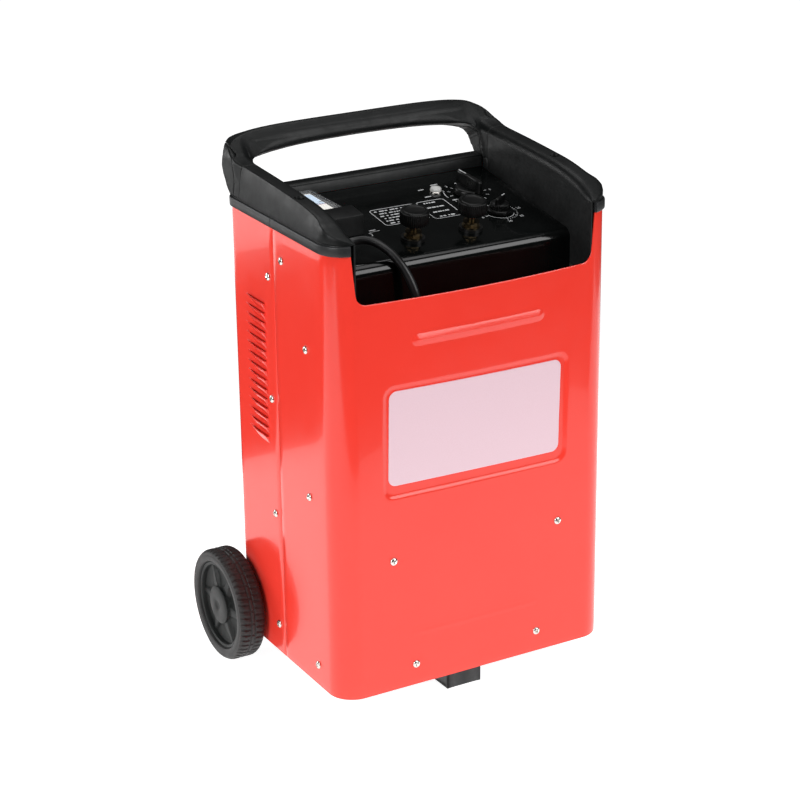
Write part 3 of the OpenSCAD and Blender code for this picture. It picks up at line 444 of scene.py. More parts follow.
def coil_points():
    """Turns of the lead in the bottom of the pocket, two deep and two across."""
    pts = []
    step = 6
    for t in range(0, 1170 + 1, step):
        if t <= 270:
            r, y = 54.0, -101.3
        elif t <= 355:
            r, y = 54.0 - 9.3 * smoothstep((t - 270) / 85), -101.3
        elif t <= 640:
            r, y = 44.7, -101.3
        elif t <= 715:
            r, y = 44.7, -101.3 + 9.3 * smoothstep((t - 640) / 75)
        elif t <= 990:
            r, y = 44.7, -92.0
        elif t <= 1075:
            r, y = 44.7 + 9.3 * smoothstep((t - 990) / 85), -92.0
        else:
            r, y = 54.0, -92.0
        a = math.radians(180 + t)
        pts.append((-76 + r * math.cos(a), y, 201 + r * math.sin(a)))
    return pts


def lead():
    route = catmull(ROUTE_IN, 5)[:-1] + coil_points()[:-1] + catmull(ROUTE_OUT, 4)
    pts = [Vector(F(p)) for p in route]
    length = sum((b - a).length for a, b in zip(pts, pts[1:]))
    bm = bmesh.new()
    n, r = 20, 0.0045
    up = Vector((0, 1, 0))
    rings = []
    for i, p in enumerate(pts):
        t = (pts[min(i + 1, len(pts) - 1)] - pts[max(i - 1, 0)]).normalized()
        if i == 0:
            side = t.cross(Vector((0, 0, 1))).normalized()
        else:
            side = (side - t * side.dot(t)).normalized()
        v = t.cross(side)
        rings.append([bm.verts.new(p + r * (math.cos(2 * math.pi * k / n) * side + math.sin(2 * math.pi * k / n) * v)) for k in range(n)])
    for a, b in zip(rings, rings[1:]):
        for k in range(n):
            bm.faces.new([a[k], a[(k + 1) % n], b[(k + 1) % n], b[k]])
    bm.faces.new(rings[0][::-1])
    bm.faces.new(rings[-1])
    o = finish_object("charging_lead_sheath", bm, "cable", "cabinet", smooth=60, replaces=("charging_lead", "lead_coil"))
    return o, pts, length


lead_obj, lead_pts, lead_len = lead()


# ---------------------------------------------------------------- cabinet shells
def bulge(z):
    return 8.4 * (max(z, 0) / 432.0) ** 2.85


def face_y(x, z, d=0.0):
    return -115 - bulge(z) * max(0.0, 1 - (x / 136.0) ** 2) + d


def sd_rrect(x, z, hw, hh, r):
    qx, qz = abs(x) - hw + r, abs(z) - hh + r
    return math.hypot(max(qx, 0), max(qz, 0)) + min(max(qx, qz), 0) - r


RA = math.radians(-0.55)


def relief(x, z):
    """Pressed features of the front: beads stand out, the recess for the plate goes in (mm, outward positive)."""
    d = 0.0
    # upper bead, a shallow ridge with a crease along its middle
    dx = max(abs(x) - 71.5, 0.0)
    rr = math.hypot(dx, z - 387.3)
    if rr < 6.6:
        d += 2.0 * (1 - rr / 6.6) ** 0.9
    # lower bead, very shallow
    dx = max(abs(x) - 73.5, 0.0)
    rr = math.hypot(dx, z - 59.8)
    if rr < 4.0:
        d += 0.45 * (1 - rr / 4.0)
    # recess round the name plate
    c, s = math.cos(RA), math.sin(RA)
    lx, lz = x * c + (z - 279.2) * s, -x * s + (z - 279.2) * c
    sd = sd_rrect(lx, lz, 111.0, 62.4, 13.5)
    if sd < 0:
        d -= 1.7 * smoothstep(min(-sd / 4.6, 1.0)) * 0.35 + 1.7 * min(-sd / 4.6, 1.0) * 0.65
    return d


def notch_top(ax):
    if ax <= 126.5:
        return 432.0
    if ax <= 138.5:
        return 444 - math.sqrt(max(144 - (ax - 126.5) ** 2, 0.0))
    if ax <= 142.4:
        return 444 + (ax - 138.5) / 3.9 * 39.8
    return 483.8


def front_shell():
    cols = [("L", y) for y in (12.6, 12.35, 11.6, 4, -8, -24, -40, -56, -72)]
    cols += [("A", -136.0, a) for a in np.linspace(180, 252, 13)]
    xs_edge = [142.4, 141.4, 140.4, 139.4, 138.5]
    arc_x = []
    for x in xs_edge:
        arc_x.append(x)
    front_x = sorted(set([round(v, 3) for v in list(np.arange(-124, 124.1, 2.0)) + [-126.5, 126.5] + [s * v for s in (-1, 1) for v in
              (128.5, 130.5, 132.5, 134.2, 135.8, 137.2)]] +
              [s * v for s in (-1, 1) for v in (108, 109, 110, 111, 112, 107, 106, 105, 72.5, 73.5, 74.5, 75.5, 76.5, 77.5)]))
    cols += [("X", -x) for x in (142.4, 141.4, 140.4, 139.4, 138.5)]
    cols += [("X", x) for x in front_x]
    cols += [("X", x) for x in (138.5, 139.4, 140.4, 141.4, 142.4)]
    cols += [("A", 136.0, a) for a in np.linspace(288, 360, 13)]
    cols += [("R", y) for y in (-72, -56, -40, -24, -8, 4, 11.6, 12.35, 12.6)]
    zs = set(np.arange(0, 416, 8.0))
    zs |= set(np.arange(55, 65, 0.8)) | set(np.arange(214, 226, 0.8)) | set(np.arange(332, 345, 0.8)) | set(np.arange(379.5, 395, 0.65))
    zs |= set(np.arange(226, 332, 4.0)) | {0.0, 415.0}
    zs = sorted(z for z in zs if z <= 415)
    zs = [z for i, z in enumerate(zs) if i == 0 or z - zs[i - 1] > 0.3]
    if zs[-1] < 415:
        zs.append(415.0)

    def point(col, z, d):
        """Point of the sheet at column and height, d mm in from the outside."""
        if col[0] in "LR":
            s = -1 if col[0] == "L" else 1
            roll = 0.75 if col[1] > 12.5 else (0.3 if col[1] > 12 else 0.0)
            return (s * (HW - d - roll), col[1], z)
        if col[0] == "A":
            a = math.radians(col[2])
            return (col[1] + (28 - d) * math.cos(a), -87 + (28 - d) * math.sin(a), z)
        x = col[1]
        if abs(x) > 136:
            s = 1 if x > 0 else -1
            a = math.acos((abs(x) - 136) / 28.0)
            return (s * (136 + (28 - d) * math.cos(a)), -87 - (28 - d) * math.sin(a), z)
        return (x, face_y(x, z) - relief(x, z) + d, z)

    bm = bmesh.new()
    t = 1.2
    outer, inner = [], []
    fr = (0.2, 0.42, 0.64, 0.84, 0.965, 1.0)
    for col in cols:
        ax = abs(point(col, 300, 0)[0]) if col[0] != "L" and col[0] != "R" else 164.0
        if col[0] == "A":
            ax = 164.0
        zt = notch_top(ax if col[0] == "X" else 150.0)
        heights = zs + [415 + (zt - 415) * f_ for f_ in fr]
        o_ring, i_ring = [], []
        for k, z in enumerate(heights):
            roll = 0.0
            if k == len(heights) - 1:
                roll = 0.35
            if k == 0:
                roll = 0.3
            o_ring.append(point(col, z, roll))
            i_ring.append(point(col, z, t))
        outer.append(add_verts(bm, o_ring))
        inner.append(add_verts(bm, i_ring))
    nc, nz = len(cols), len(outer[0])
    for c in range(nc - 1):
        for k in range(nz - 1):
            bm.faces.new([outer[c][k], outer[c + 1][k], outer[c + 1][k + 1], outer[c][k + 1]])
            bm.faces.new([inner[c][k], inner[c][k + 1], inner[c + 1][k + 1], inner[c + 1][k]])
        bm.faces.new([outer[c][-1], outer[c + 1][-1], inner[c + 1][-1], inner[c][-1]])
        bm.faces.new([outer[c][0], inner[c][0], inner[c + 1][0], outer[c + 1][0]])
    for c in (0, nc - 1):
        for k in range(nz - 1):
            vs = [outer[c][k], outer[c][k + 1], inner[c][k + 1], inner[c][k]]
            bm.faces.new(vs if c == 0 else vs[::-1])
    return finish_object("front_shell_sheet", bm, "red", "cabinet", smooth=28, replaces=("front_shell",))


front_shell()


def rear_shell():
    """U-shaped sheet with fifteen pressed louvers in each side."""
    y_lines = [12.8, 13.05, 13.8, 22, 30, 35, 36.8, 44, 52, 60, 66, 70, 73, 78, 81, 90, 98]
    cols = [("L", y) for y in y_lines]
    cols += [("A", -148.0, a) for a in np.linspace(180, 90, 13)]
    cols += [("B", x) for x in np.linspace(-136, 136, 18)]
    cols += [("A", 148.0, a) for a in np.linspace(90, 0, 13)]
    cols += [("R", y) for y in y_lines[::-1]]
    lz = [248.2 + 10.55 * i for i in range(15)]
    zs = {0.0, 483.8} | set(np.arange(12, 240, 16.0)) | set(np.arange(408, 483, 14.0))
    for z0 in lz:
        zs |= {z0 + 1.0, z0 + 3.6, z0 - 0.3, z0 - 4.0}
    zs = sorted(zs)

    def point(col, z, d):
        if col[0] in "LR":
            s = -1 if col[0] == "L" else 1
            roll = 0.75 if col[1] < 12.9 else (0.3 if col[1] < 13.1 else 0.0)
            return (s * (HW - d - roll), col[1], z)
        if col[0] == "A":
            a = math.radians(col[2])
            return (col[1] + (16 - d) * math.cos(a), 102 + (16 - d) * math.sin(a), z)
        return (col[1], 118 - d, z)

    bm = bmesh.new()
    t = 1.2
    nz = len(zs)
    outer, inner = [], []
    for col in cols:
        outer.append(add_verts(bm, [point(col, z, 0.3 if k in (0, nz - 1) else 0.0) for k, z in enumerate(zs)]))
        inner.append(add_verts(bm, [point(col, z, t) for z in zs]))
    nc = len(cols)

    def is_slot(c, k):
        a, b = cols[c], cols[c + 1]
        if a[0] != b[0] or a[0] not in "LR":
            return False
        ya, yb = min(a[1], b[1]), max(a[1], b[1])
        if ya < 36.7 or yb > 73.1:
            return False
        zc = (zs[k] + zs[k + 1]) / 2
        return any(z0 - 0.3 < zc < z0 + 1.0 for z0 in lz)

    slot = [[is_slot(c, k) if c < nc - 1 else False for k in range(nz - 1)] for c in range(nc)]
    for c in range(nc - 1):
        for k in range(nz - 1):
            if slot[c][k]:
                continue
            bm.faces.new([outer[c][k], outer[c + 1][k], outer[c + 1][k + 1], outer[c][k + 1]])
            bm.faces.new([inner[c][k], inner[c][k + 1], inner[c + 1][k + 1], inner[c + 1][k]])
        bm.faces.new([outer[c][-1], outer[c + 1][-1], inner[c + 1][-1], inner[c][-1]])
        bm.faces.new([outer[c][0], inner[c][0], inner[c + 1][0], outer[c + 1][0]])
    for c in range(nc - 1):
        for k in range(nz - 1):
            if not slot[c][k]:
                continue
            for dc, dk, e in ((-1, 0, ((c, k), (c, k + 1))), (1, 0, ((c + 1, k), (c + 1, k + 1))), (0, -1, ((c, k), (c + 1, k))),
                              (0, 1, ((c, k + 1), (c + 1, k + 1)))):
                if not slot[c + dc][k + dk]:
                    (c0, k0), (c1, k1) = e
                    bm.faces.new([outer[c0][k0], outer[c1][k1], inner[c1][k1], inner[c0][k0]])
    for c in (0, nc - 1):
        for k in range(nz - 1):
            vs = [outer[c][k], outer[c][k + 1], inner[c][k + 1], inner[c][k]]
            bm.faces.new(vs if c == 0 else vs[::-1])
    # blades of the louvers: lip out at the top, foot in the sheet, square front end, rising to a point at the rear
    ys = [35.0, 35.25, 35.7, 36.4, 40, 46, 52, 58, 62, 66, 70, 73.5, 76.5, 78.8, 80.2]
    for s in (-1, 1):
        for z0 in lz:
            secs = []
            for y in ys:
                zt = z0 + 1.0
                u = max((y - 54) / 26.2, 0.0)
                zb = z0 - 6.6 + 7.2 * u ** 1.35
                h = 3.7 * min((zt - zb) / 7.6, 1.0) ** 0.8
                if y < 36.3:
                    h *= (0.02, 0.55, 0.9)[ys.index(y)]
                h = max(h, 0.12)
                e = min(0.75, (zt - zb) * 0.3)
                secs.append([(s * (HW - 0.02), y, zb), (s * (HW + h * 0.42), y, zb + (zt - zb) * 0.40), (s * (HW + h - 0.06), y, zt - 0.55 * e / 0.75), (s * (HW + h), y, zt - 0.25 * e),
                             (s * (HW + h - 0.25), y, zt), (s * (HW + max(h - 0.85, 0.0)), y, zt - 0.1 * e), (s * (HW + max(h * 0.42 - 0.85, -0.8)), y, zb + (zt - zb) * 0.44),
                             (s * (HW - 0.9), y, zb + e * 0.6)])
            loft(bm, secs)
    return finish_object("rear_shell_sheet", bm, "red", "cabinet", smooth=28, replaces=("rear_shell",))


rear_shell()


def name_plate():
    """Thin bowed plate in the recess, with rounded corners and a rolled edge."""
    bm = bmesh.new()
    rot = -0.85
    cx, cz = -1.2, 282.6
    rings_o = []
    fr = [1.0, 0.996, 0.985, 0.93, 0.8, 0.6, 0.4, 0.2, 0.06]
    edge = densify(rrect(205.0, 103.2, 8.6, 7), 6.0)
    c, sn = math.cos(math.radians(rot)), math.sin(math.radians(rot))
    for q, s in enumerate(fr):
        pts = [(cx + s * (x * c - z * sn), cz + s * (x * sn + z * c)) for x, z in edge]
        lift = 0.0 if q == 0 else 0.28 if q == 1 else 0.34
        rings_o.append([(x, face_y(x, z) + 1.35 - lift - 0.15, z) for x, z in pts])
    base = [(x, y + 0.5, z) for x, y, z in rings_o[0]]
    loft(bm, [base] + rings_o, caps=True)
    return finish_object("name_plate_blank", bm, "plate", "cabinet", smooth=40, replaces=("name_plate",))


name_plate()


# ---------------------------------------------------------------- rims
def rim_profile():
    return [(-4.6, 484.0), (1.2, 484.0), (2.3, 484.9), (2.5, 485.6), (2.5, 493.0), (2.2, 493.9), (1.4, 494.4), (0.5, 494.5), (0.15, 494.0),
            (-0.4, 494.0), (-0.6, 495.0), (-4.6, 495.0)]


def front_rim():
    bm = bmesh.new()
    for s in (-1, 1):
        secs = []
        path = [(s * HW, y, s, 0) for y in (12.35, 11.9, 2, -20, -44, -66, -86)]
        for k in range(1, 15):
            a = math.radians(90 * k / 15.0)
            nx, ny = math.cos(a), -math.sin(a)
            path.append((s * (136 + 28 * nx), -87 + 28 * ny, s * nx, ny))
            if 136 + 28 * nx < 146:
                break
        for i, (x, y, nx, ny) in enumerate(path):
            shrink = 0.5 if i in (0,) else 0.0
            secs.append([(x + nx * (o - (shrink if o > 0 else 0)), y + ny * (o - (shrink if o > 0 else 0)), z) for o, z in rim_profile()])
        # square end beside the pocket
        x, y, nx, ny = path[-1]
        for dx, inset in ((-1.6, 0.0), (-2.0, 0.5)):
            a = math.acos(min(max((abs(x) + dx - 136) / 28.0, -1), 1))
            xx, yy = s * (136 + 28 * math.cos(a)), -87 - 28 * math.sin(a)
            nnx, nny = s * math.cos(a), -math.sin(a)
            secs.append([(xx + nnx * (o - (inset if o > 0 else 0)), yy + nny * (o - (inset if o > 0 else 0)),
                          z + (inset * 0.8 if z < 485 else (-inset * 0.8 if z > 494 else 0))) for o, z in rim_profile()])
        loft(bm, secs)
    return finish_object("front_rim_trim", bm, "trim", "cabinet", smooth=32, replaces=("front_rim",))


def rear_rim():
    bm = bmesh.new()
    path = [(-HW, y, -1, 0) for y in (12.85, 13.3, 40, 70, 101)]
    for k in range(1, 10):
        a = math.radians(180 - 90 * k / 10.0)
        path.append((-148 + 16 * math.cos(a), 102 + 16 * math.sin(a), math.cos(a), math.sin(a)))
    path += [(x, 118, 0, 1) for x in np.linspace(-146, 146, 12)]
    for k in range(1, 10):
        a = math.radians(90 - 90 * k / 10.0)
        path.append((148 + 16 * math.cos(a), 102 + 16 * math.sin(a), math.cos(a), math.sin(a)))
    path += [(HW, y, 1, 0) for y in (101, 70, 40, 13.3, 12.85)]
    secs = []
    for i, (x, y, nx, ny) in enumerate(path):
        shrink = 0.5 if i in (0, len(path) - 1) else 0.0
        secs.append([(x + nx * (o - (shrink if o > 0 else 0)), y + ny * (o - (shrink if o > 0 else 0)), z) for o, z in rim_profile()])
    loft(bm, secs)
    return finish_object("rear_rim_trim", bm, "trim", "cabinet", smooth=32, replaces=("rear_rim",))


front_rim()
rear_rim()

# ---------------------------------------------------------------- cheeks and handle
CREST = [(-114.5, 497.5), (-112, 500.0), (-104, 504.5), (-90, 511.2), (-72, 516.2), (-55, 519.6), (-38, 521.9), (-22, 523.2), (-2, 524.6), (18, 526.0),
         (45, 527.6), (67, 528.7), (80, 529.4), (88, 529.8), (95, 530.2), (103, 531.3), (110, 532.7), (116, 534.5), (121, 537.0), (126, 540.5)]
INNER = 137.35
LEAN_F = [(495, 98), (499, 98), (505, 99), (512, 101), (518, 105), (524, 110), (530, 115), (536, 120), (542, 124.3), (548, 126.9), (556, 128)]
LEAN_B = [(495, 117.6), (500, 121), (505, 125), (510, 129), (515, 132), (520, 135), (525, 138), (530, 141.5), (536, 146), (542, 149.6), (548, 151.2), (556, 151.5)]


def outline_x(z):
    """Half width of the handle's outer outline at a height."""
    if z <= 512:
        return HW - 2.0 * smoothstep((z - 497) / 15.0)
    q = min((z - 512.0) / 43.3, 0.9999)
    return 162.0 * (1 - q ** 4.1) ** (1 / 4.1)


def plan_x(y):
    """Half width of the body's rounded outline at y."""
    if y < -87:
        return 136 + math.sqrt(max(28.0 ** 2 - (y + 87) ** 2, 0.0))
    return HW


def cheek_section(y, s, skirt_to, zo=495.05, zi_low=None):
    """One cross-section of the cheek at y, outer bottom first. zo and zi_low lift its lower edges behind the seam."""
    zc = interp(CREST, y)
    px = plan_x(y)
    lean = 5.6 * smoothstep((y + 100) / 30.0) - 3.0 * smoothstep((y - 78) / 28.0)
    top_out = min(px - lean, outline_x(zc) - 0.2)
    top_out = max(top_out, INNER + 2.5)
    rise = 3.6 * smoothstep((y - 99) / 21.0)
    ro = 1.5
    w = top_out - INNER
    ri = min(8.5, w * 0.45, zc - 495.8)
    base = px - 0.35
    hgt = zc - 495.0

    def face(z):
        q = min(max((z - 495.0) / hgt, 0.0), 1.0)
        x = px + (top_out - px) * q ** 1.15 + 0.5 * math.sin(math.pi * q) * (1 if hgt > 8 else 0)
        return min(x, outline_x(z) if y > 84 else x)
    zo = min(zo, zc - 2.2)
    pts = [(base if zo < 496 else face(zo) - 0.4, zo)]
    for q in (0.08, 0.3, 0.55, 0.78):
        z = max(zo + 0.45, 495.0 + hgt * q) if zo > 496 else 495.0 + hgt * q
        z = min(z, zc - 1.7)
        pts.append((face(z), z))
    z1 = max(zc - ro, pts[-1][1] + 0.05)
    for a in (0, 30, 60, 90):
        aa = math.radians(a)
        pts.append((top_out - ro + ro * math.cos(aa), min(z1 + (zc - z1) * math.sin(aa), zc)))
    zi = zc - 0.5 + rise
    xin = INNER + ri
    for q in (0.35, 0.7):
        pts.append((top_out - ro + (xin - top_out + ro) * q, zc - 0.5 * q + rise * q))
    for a in (90, 75, 60, 45, 30, 15, 0):
        aa = math.radians(a)
        pts.append((xin - ri * math.cos(aa), zi - ri + ri * math.sin(aa)))
    if zi_low is None:
        pts.append((INNER, min(495.0, zi - ri - 0.2)))
        pts.append((INNER, skirt_to + 0.2))
        pts.append((INNER + 0.2, skirt_to))
        pts.append((INNER + 1.75, skirt_to))
        pts.append((INNER + 1.8, 495.6))
        pts.append((max(px - 2.0, INNER + 2.2), 495.3))
    else:
        zl = min(zi_low, zi - ri - 0.6)
        pts.append((INNER, zl + 0.5))
        pts.append((INNER + 0.4, zl))
        pts.append((INNER + 2.0, zl + 0.02))
        pts.append((INNER + 4.0, zl + 0.04))
        pts.append((INNER + 6.0, zl + 0.06))
        pts.append((max(pts[0][0] - 4.0, INNER + 8), (zo + zl) / 2 + 0.1))
    return [(s * x, y, z) for x, z in pts]


def skirt_low(y):
    if y < -73.2:
        return 420.5
    if y < -71.6:
        return 420.5 + (456 - 420.5) * (y + 73.2) / 1.6
    return 456 + (y + 71.6) * 25.5 / 159.3


def cheek(s, name, node):
    bm = bmesh.new()
    ys = [-114.2, -113.4, -112, -109.5, -106, -102, -97.5, -93, -88.5, -84, -79, -75, -73.3, -71.5, -66, -58, -50, -42, -34, -25, -16, -6, 5, 16, 28,
          40, 52, 63, 73, 81, 86.5, 87.6, 87.97]
    secs = []
    for y in ys:
        sec = cheek_section(y, s, skirt_low(y))
        if y > 87.8:  # broken edge at the joint
            sec = [(x - s * (0.12 if abs(x) > 150 else 0), y_, z - (0.14 if z > 500 else 0)) for x, y_, z in sec]
        secs.append(sec)
    loft(bm, secs)
    bmesh.ops.remove_doubles(bm, verts=bm.verts, dist=1e-6)
    bmesh.ops.recalc_face_normals(bm, faces=bm.faces)
    me = bpy.data.meshes.new("tmp")
    bm.to_mesh(me)
    bm.free()
    o = bpy.data.objects.new("tmp", me)
    scene.collection.objects.link(o)
    cut = bmesh.new()
    lathe(cut, [(0, 512.5), (4.6, 512.5), (4.7, 520), (5.6, 523.0), (6.0, 560), (0, 560)], 32, lambda p: (p[0] + s * 151.0, p[1] - 25.0, p[2]))
    if s < 0:
        lathe(cut, [(0, -142), (6.1, -142), (6.1, -134), (0, -134)], 24, lambda p: (p[2], p[1] - 47, p[0] + 475))
    bmesh.ops.recalc_face_normals(cut, faces=cut.faces)
    cme = bpy.data.meshes.new("cut")
    cut.to_mesh(cme)
    cut.free()
    co = bpy.data.objects.new("cut", cme)
    scene.collection.objects.link(co)
    md = o.modifiers.new("b", "BOOLEAN")
    md.operation, md.object, md.solver = "DIFFERENCE", co, "EXACT"
    bpy.context.view_layer.update()
    ev = o.evaluated_get(bpy.context.evaluated_depsgraph_get())
    bm = bmesh.new()
    bm.from_mesh(ev.to_mesh())
    bpy.data.objects.remove(o)
    bpy.data.objects.remove(co)
    return finish_object(name, bm, "moulding", "cabinet", smooth=34, replaces=(node,))


cheek(-1, "left_cheek_moulding", "left_cheek")
cheek(1, "right_cheek_moulding", "right_cheek")


def rmax(a, b, r):
    """Intersection of two distance fields with an edge of radius r."""
    return np.minimum(np.maximum(a, b), -r) + np.sqrt(np.maximum(a + r, 0) ** 2 + np.maximum(b + r, 0) ** 2)


def rmin(a, b, r):
    """Union of two distance fields with a fillet of radius r."""
    return np.maximum(np.minimum(a, b), r) - np.sqrt(np.maximum(r - a, 0) ** 2 + np.maximum(r - b, 0) ** 2)


def ss(t):
    t = np.clip(t, 0.0, 1.0)
    return t * t * (3 - 2 * t)


def tab(table, t):
    return np.interp(t, [p[0] for p in table], [p[1] for p in table])


GAP = [(0, 536.9), (35, 536.5), (67, 535.3), (85, 533.9), (105, 531.6), (120, 529.4), (128, 527.2), (133, 523.6), (135.8, 518), (137.1, 510), (137.35, 502), (137.36, 480)]
GAP_FALL = 0.5  # the gap's ceiling slopes down to the rear
POST_R = [(495, 9.0), (500, 6.0), (505, 5.0), (512, 3.0), (521, 5.0), (527, 10.0), (532, 15.0), (537, 16.5), (541, 14.0), (546, 8.0), (552, 6.0)]
TOP_OUT = [(88, 529.8), (92, 530.2), (97, 530.9), (103, 532.2), (110, 534.2), (116, 536.6), (122, 540.2), (128, 545.0), (134, 551.0), (140, 558.0), (152, 572.0)]
TOP_IN = [(88, 529.3), (95, 529.7), (103, 530.6), (110, 532.0), (116, 534.8), (122, 539.2), (128, 544.6), (134, 551.0), (140, 558.0), (152, 572.0)]
SEAM_OUT = [(101.3, 495), (101.6, 500), (102.1, 506.3), (102.6, 515), (104.3, 523.4), (107.4, 530.2), (111.9, 535.2), (116.5, 538.6), (125, 542.0), (140, 546.5), (156, 550)]
SEAM_IN = [(103.4, 490), (103.6, 505), (104.5, 514.8), (108.1, 520.7), (120, 524.9), (135, 528.0), (156, 533)]
HUMP_N, HUMP_H = 4.7, 42.6


def hump_d(x, z):
    """Distance past the handle's outer outline, seen from the front."""
    u = np.maximum(z - 512.0, 0.0) / HUMP_H
    q = x / 162.0
    g = np.maximum((q ** HUMP_N + u ** HUMP_N) ** (1 / HUMP_N), 1e-6)
    gx = (q / g) ** (HUMP_N - 1) / 162.0
    gz = (u / g) ** (HUMP_N - 1) / HUMP_H
    up = (g - 1.0) / np.maximum(np.sqrt(gx ** 2 + gz ** 2), 1e-6)
    return np.where(z > 512.5, up, x - (HW - 2.0 * ss((z - 497) / 15.0)))


def handle_field(x, y, z):
    """Signed distance to the whole handle, mm, cabinet frame."""
    ax = np.abs(x)
    w = ss((ax - 127.0) / 25.0)                       # 0 on the bar, 1 on the posts
    yf, yb = tab(LEAN_F, z), tab(LEAN_B, z)
    # outer side and rear face, rounded in plan
    lean = 4.6 - 2.6 * ss((y - 84) / 24.0)
    side = ax - (HW - 0.3 - lean * np.clip((z - 495.0) / 37.0, 0, 1) ** 1.15)
    side = np.maximum(side, hump_d(ax, z))
    back = (y - yb) * 0.84
    d1 = rmax(side * w + hump_d(ax, z) * (1 - w), back, tab(POST_R, z) * w + 10.0 * (1 - w))
    # top: the strip on the posts turns into the round front of the bar
    k = np.clip((ax - 139.0) / 19.0, 0, 1)
    top_o = (z - tab(TOP_OUT, y) * k - tab(TOP_IN, y) * (1 - k)) * 0.94
    top_i = (yf - y) * 0.80
    v = ss((ax - 119.0) / 18.0)
    strip = np.where(v > 0.999, top_o, top_o * v + top_i * (1 - v))
    d = rmax(d1, strip, 1.7 * v + 10.0 * (1 - v))
    # inner side: the wall at the cheek's inner face, then the front of the bar
    wall = rmin(137.35 - ax, top_i, 7.0)
    d = rmax(d, wall, 1.2 + 7.3 * ss((z - 512) / 12.0))
    # hand gap
    gz = tab(GAP, ax) - GAP_FALL * (y - 122.0)
    sl = np.abs(tab(GAP, ax + 0.4) - tab(GAP, ax - 0.4)) / 0.8
    hole = np.where(ax < 137.4, (gz - z) / np.sqrt(1 + GAP_FALL ** 2 + np.minimum(sl, 30.0) ** 2), -50.0)
    hole = np.maximum(hole, np.where(z < 503, 137.3 - ax, -50.0))
    hole = np.where(y < yf - 2.0, -50.0, hole)
    rb = 8.0 * (1 - ss((ax - 100) / 30.0)) + 2.5
    d = rmax(d, hole, rb)
    return np.maximum(np.maximum(d, 495.06 - z), 88.01 - y)


def seam_field(x, y, z):
    """Positive behind and below the seam between the handle's two halves."""
    ax = np.abs(x)

    def height(ax_, y_):
        zo, zi = tab(SEAM_OUT, y_), tab(SEAM_IN, y_)
        zb = tab(GAP, np.minimum(ax_, 130.0)) - GAP_FALL * 12.0 + 2.6 + 0.30 * (y_ - 134)
        t = ss((ax_ - 141) / 17.0)
        t2 = ss((136 - ax_) / 14.0)
        zi = zi * (1 - t2) + zb * t2
        return np.where(y_ < 101.2, 300.0, zi * (1 - t) + zo * t)
    h0 = height(ax, y)
    e = 0.35
    gx = (height(ax + e, y) - height(ax - e, y)) / (2 * e)
    gy = (height(ax, y + e) - height(ax, y - e)) / (2 * e)
    return (h0 - z) / np.sqrt(1 + np.minimum(gx ** 2 + gy ** 2, 4e4))


def surface_net(bm, field, xs, ys, zs, steps=2):
    """Polygonises a distance field on a rectilinear grid."""
    X, Y, Z = np.meshgrid(xs, ys, zs, indexing="ij")
    v = field(X, Y, Z)
    ins = v < 0
    n = np.array(v.shape) - 1
    G = np.stack([X, Y, Z], -1)
    acc = np.zeros((*n, 3))
    cnt = np.zeros(tuple(n))
    for ax_ in range(3):
        o1, o2 = [a_ for a_ in range(3) if a_ != ax_]
        for i in (0, 1):
            for j in (0, 1):
                off = [0, 0, 0]
                off[o1], off[o2] = i, j
                s0 = tuple(slice(off[k], off[k] + n[k]) for k in range(3))
                off2 = list(off)
                off2[ax_] += 1
                s1 = tuple(slice(off2[k], off2[k] + n[k]) for k in range(3))
                cr = ins[s0] != ins[s1]
                t = np.where(cr, v[s0] / np.where(cr, v[s0] - v[s1], 1.0), 0.0)
                p_ = G[s0] + (G[s1] - G[s0]) * t[..., None]
                acc += np.where(cr[..., None], p_, 0.0)
                cnt += cr
    act = cnt > 0
    idx = -np.ones(tuple(n), dtype=int)
    idx[act] = np.arange(act.sum())
    P = acc[act] / cnt[act][:, None]
    e = 0.05
    for _ in range(steps):
        f0 = field(P[:, 0], P[:, 1], P[:, 2])
        g = np.stack([(field(P[:, 0] + e, P[:, 1], P[:, 2]) - field(P[:, 0] - e, P[:, 1], P[:, 2])) / (2 * e),
                      (field(P[:, 0], P[:, 1] + e, P[:, 2]) - field(P[:, 0], P[:, 1] - e, P[:, 2])) / (2 * e),
                      (field(P[:, 0], P[:, 1], P[:, 2] + e) - field(P[:, 0], P[:, 1], P[:, 2] - e)) / (2 * e)], -1)
        st = f0[:, None] * g / np.maximum((g ** 2).sum(-1, keepdims=True), 0.05)
        ln = np.linalg.norm(st, axis=1, keepdims=True)
        P = P - st * np.minimum(1.0, 0.5 / np.maximum(ln, 1e-9))
    verts = [bm.verts.new(F(p_)) for p_ in P]
    for ax_ in range(3):
        o1, o2 = (ax_ + 1) % 3, (ax_ + 2) % 3
        s0 = [slice(None)] * 3
        s1 = [slice(None)] * 3
        s0[ax_], s1[ax_] = slice(0, -1), slice(1, None)
        ch = ins[tuple(s0)] != ins[tuple(s1)]
        for q in np.argwhere(ch):
            if q[o1] < 1 or q[o2] < 1 or q[o1] >= n[o1] or q[o2] >= n[o2]:
                continue
            c = []
            for di, dj in ((0, 0), (-1, 0), (-1, -1), (0, -1)):
                r_ = list(q)
                r_[o1] += di
                r_[o2] += dj
                c.append(idx[tuple(r_)])
            if min(c) < 0 or len(set(c)) < 4:
                continue
            if not ins[tuple(q)]:
                c = c[::-1]
            try:
                bm.faces.new([verts[k] for k in c])
            except ValueError:
                pass


